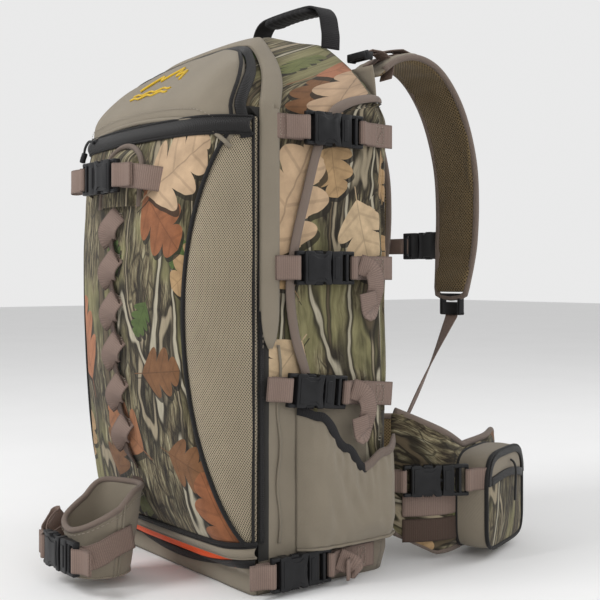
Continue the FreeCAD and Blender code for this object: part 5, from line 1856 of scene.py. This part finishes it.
def hip_pocket(side, name, body):
    """A zip pocket: plain gusset, piped edges, zip arc over the top, camouflage face."""
    run = Vector((-0.382 * side, 0.924, 0))
    out = Vector((0.924 * side, 0.382, 0))
    corner = Vector((side * 0.151, 0.168, 0)) + out * 6.4 * MM
    middle = corner + run * 0.059 + Vector((0, 0, 0.064))

    def at(along_share, up_share, depth):
        return middle + run * along_share + Vector((0, 0, up_share)) + out * depth

    def outline(count, inset=0.0, depth=0.0):
        points = []
        for k in range(count):
            angle = math.tau * k / count
            c, s = math.cos(angle), math.sin(angle)
            power = 0.42 if s > 0 else 0.36
            wide = math.copysign(abs(c) ** power, c) * (0.0585 - inset)
            tall = math.copysign(abs(s) ** power, s) * (0.0535 - inset)
            points.append(at(wide, tall, depth))
        return points

    rings = []
    uvs = []
    for r in range(15):
        share = r / 14
        swell = 1.6 * MM * math.sin(share * math.pi)
        ring = outline(96, 2.2 * MM - swell, (0.5 + 37.5 * share) * MM)
        ring.append(ring[0])
        rings.append([p + out * rumple(p, 0.8 * MM, 40, 9) for p in ring])
        uvs.append([(k * 4.2 * MM, share * 0.038) for k in range(97)])
    gusset = grid("pocket_gusset_" + name, rings, mats["taupe"], 1.6 * MM, uvs=uvs, flip=side > 0)
    place(gusset, body, "plain_fabric", "hip_pocket_" + name)
    verts = []
    faces = []
    kinds = []
    flat = []
    levels = 16
    size = 96
    for r in range(levels):
        share = 1 - r / levels
        for k, point in enumerate(outline(size, 1.5 * MM, 0)):
            spot = middle.lerp(point, share)
            dome = 38 * MM + 4.6 * MM * (1 - share ** 3) + rumple(spot, 1.0 * MM, 30, 3)
            verts.append(spot + out * dome)
            local = spot - middle
            flat.append((local.dot(run), local.z))
    verts.append(middle + out * 42.6 * MM)
    flat.append((0, 0))
    for r in range(levels):
        for k in range(size):
            a = r * size + k
            b = r * size + (k + 1) % size
            if r + 1 < levels:
                quad = (a, b, b + size, a + size)
            else:
                quad = (a, b, len(verts) - 1)
            faces.append(quad if side < 0 else quad[::-1])
            height = sum(flat[i][1] for i in quad) / len(quad)
            kinds.append(1 if height > 0.026 else 0)
    face = new_object("pocket_face_" + name, verts, faces, [mats["camo_plain"], mats["taupe"]], flat)
    face.data.polygons.foreach_set("material_index", kinds)
    place(face, body, "camo_fabric")
    for tag, depth, radius in (("front", 38.0, 2.4), ("rear", 2.5, 2.0)):
        line = outline(96, 0.8 * MM, depth * MM)
        place(tube("pocket_piping_%s_%s" % (tag, name), line, radius * MM, mats["piping"], 8, True), body,
              "black_webbing")
    band = []
    for k in range(41):
        share = k / 20 - 1
        band.append(at(0.050 * share, 0.027 - 0.006 * share ** 2 - 0.002 * share, 43.0 * MM
                       - 2.6 * MM * share ** 4))
    place(strap("pocket_zip_" + name, band, out, 9 * MM, 2.6 * MM, mats["zip"]), body, "black_webbing")
    arc = []
    for k in range(37):
        angle = math.radians(8 + 164 * k / 36)
        c, s = math.cos(angle), math.sin(angle)
        arc.append(at(math.copysign(abs(c) ** 0.5, c) * 0.0545, math.copysign(abs(s) ** 0.5, s) * 0.0500,
                      40.2 * MM))
    place(strap("pocket_top_zip_" + name, arc, out, 7 * MM, 2.4 * MM, mats["zip"]), body, "black_webbing")


# the pull cord's points in the hip pocket's own directions: along, outward and up, in millimetres
PULL_ROUTE = [(66, 41.4, 0), (66, 45.0, -1.5), (66.8, 47.4, -8), (67.6, 47.6, -17), (67.0, 47.2, -27),
              (65.6, 47.0, -37), (64.6, 47.2, -46)]


def pull_cords():
    """A free cord on each hip pocket's zip slider, with capped ends."""
    for side, name in ((1, "right"), (-1, "left")):
        route = []
        for along_mm, outward, height in PULL_ROUTE:
            x = 151 - 0.382 * along_mm + 0.924 * (outward + 7.5)
            y = 168 + 0.924 * along_mm + 0.382 * (outward + 7.5)
            route.append(Vector((side * x, y, 104 + height)) * MM)
        data = bpy.data.curves.new("pull_cord_line_" + name, "CURVE")
        data.dimensions = "3D"
        data.bevel_depth = 1.3 * MM
        data.bevel_resolution = 3
        data.resolution_u = 12
        data.use_fill_caps = True
        line = data.splines.new("NURBS")
        line.points.add(len(route) - 1)
        for point, spot in zip(line.points, route):
            point.co = (*spot, 1)
        line.order_u = 3
        line.use_endpoint_u = True
        data.materials.append(mats["cord"])
        item = bpy.data.objects.new("pull_cord_line_" + name, data)
        scene.collection.objects.link(item)
        place(item, "hip_" + name, "black_cord", "pull_cord_" + name)


def zip_slider():
    """The front zip's slider and its corded pull."""
    radius = 0.67349
    centre = 0.52978
    angle = math.asin(-0.086 / radius)
    turn = Matrix.Translation((0, centre, 0.462)) @ Matrix.Rotation(angle, 4, "Z")
    plates = [(rect(-5, 5, -4, 4), 0, 4.5, 1.2), (rect(-2, 2, -1.6, 1.6), 4, 7.5, 0.8)]
    mesh = moulding("slider", plates)
    mesh.transform(turn @ facing((0, -radius - 3.5 * MM, 0), (1, 0, 0), (0, -1, 0)))
    item = bpy.data.objects.new("slider_shape", mesh)
    scene.collection.objects.link(item)
    place(item, "front_zip", "buckle_plastic", "front_zip_slider")
    knots = [(-0.002, 0, 0.001), (-0.010, -0.002, 0.002), (-0.020, -0.003, -0.004),
             (-0.029, -0.002, -0.014)]
    path = curve_points([turn @ (Vector(k) + Vector((0, -radius - 9 * MM, 0))) for k in knots], 6)
    place(tube("slider_cord", path, 1.5 * MM, mats["cord"], 8), "front_zip", "black_cord")
    end = path[-1]
    ball = tube("slider_toggle", [end + Vector((0.003, 0, 0.004)), end + Vector((0.0015, 0, 0.0015)), end,
                                  end + Vector((-0.0015, 0, -0.002)), end + Vector((-0.003, 0, -0.005))],
                3.4 * MM, mats["plastic"], 10)
    place(ball, "front_zip", "buckle_plastic")


def inner_frame():
    """The sheet and stays in the back stay as designed and only take a finish."""
    for node, finish in (("frame_sheet", "lining"), ("frame_stays", "metal")):
        item = next(o for o in scene.objects if o.get("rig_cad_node") == node)
        item.data.materials.clear()
        item.data.materials.append(mats[finish])


# MAIN
make_camera()
make_light()
make_materials()
pull_cords()
corners = [(-9, -9), (9, -9), (9, 9), (-9, 9)]
floor = new_object("floor", [(x, y, 0) for x, y in corners], [(0, 1, 2, 3)], floor_paper(), corners,
                   smooth=False)
buckle_meshes["socket"] = socket_mesh()
buckle_meshes["tongue"] = tongue_mesh()
body = bag_body()
cut_lid_hole(body)
place(body, "root", "camo_fabric", "main_bag", "base_panel")
front_panel()
zip_band()
lid()
yoke()
compression_straps()
side_flaps()
side_pockets()
bottom_pocket()
holder()
daisy_chain()
boot_cup()
shoulder_straps()
grab_handle()
back_padding()
hip_belt()
zip_slider()
inner_frame()
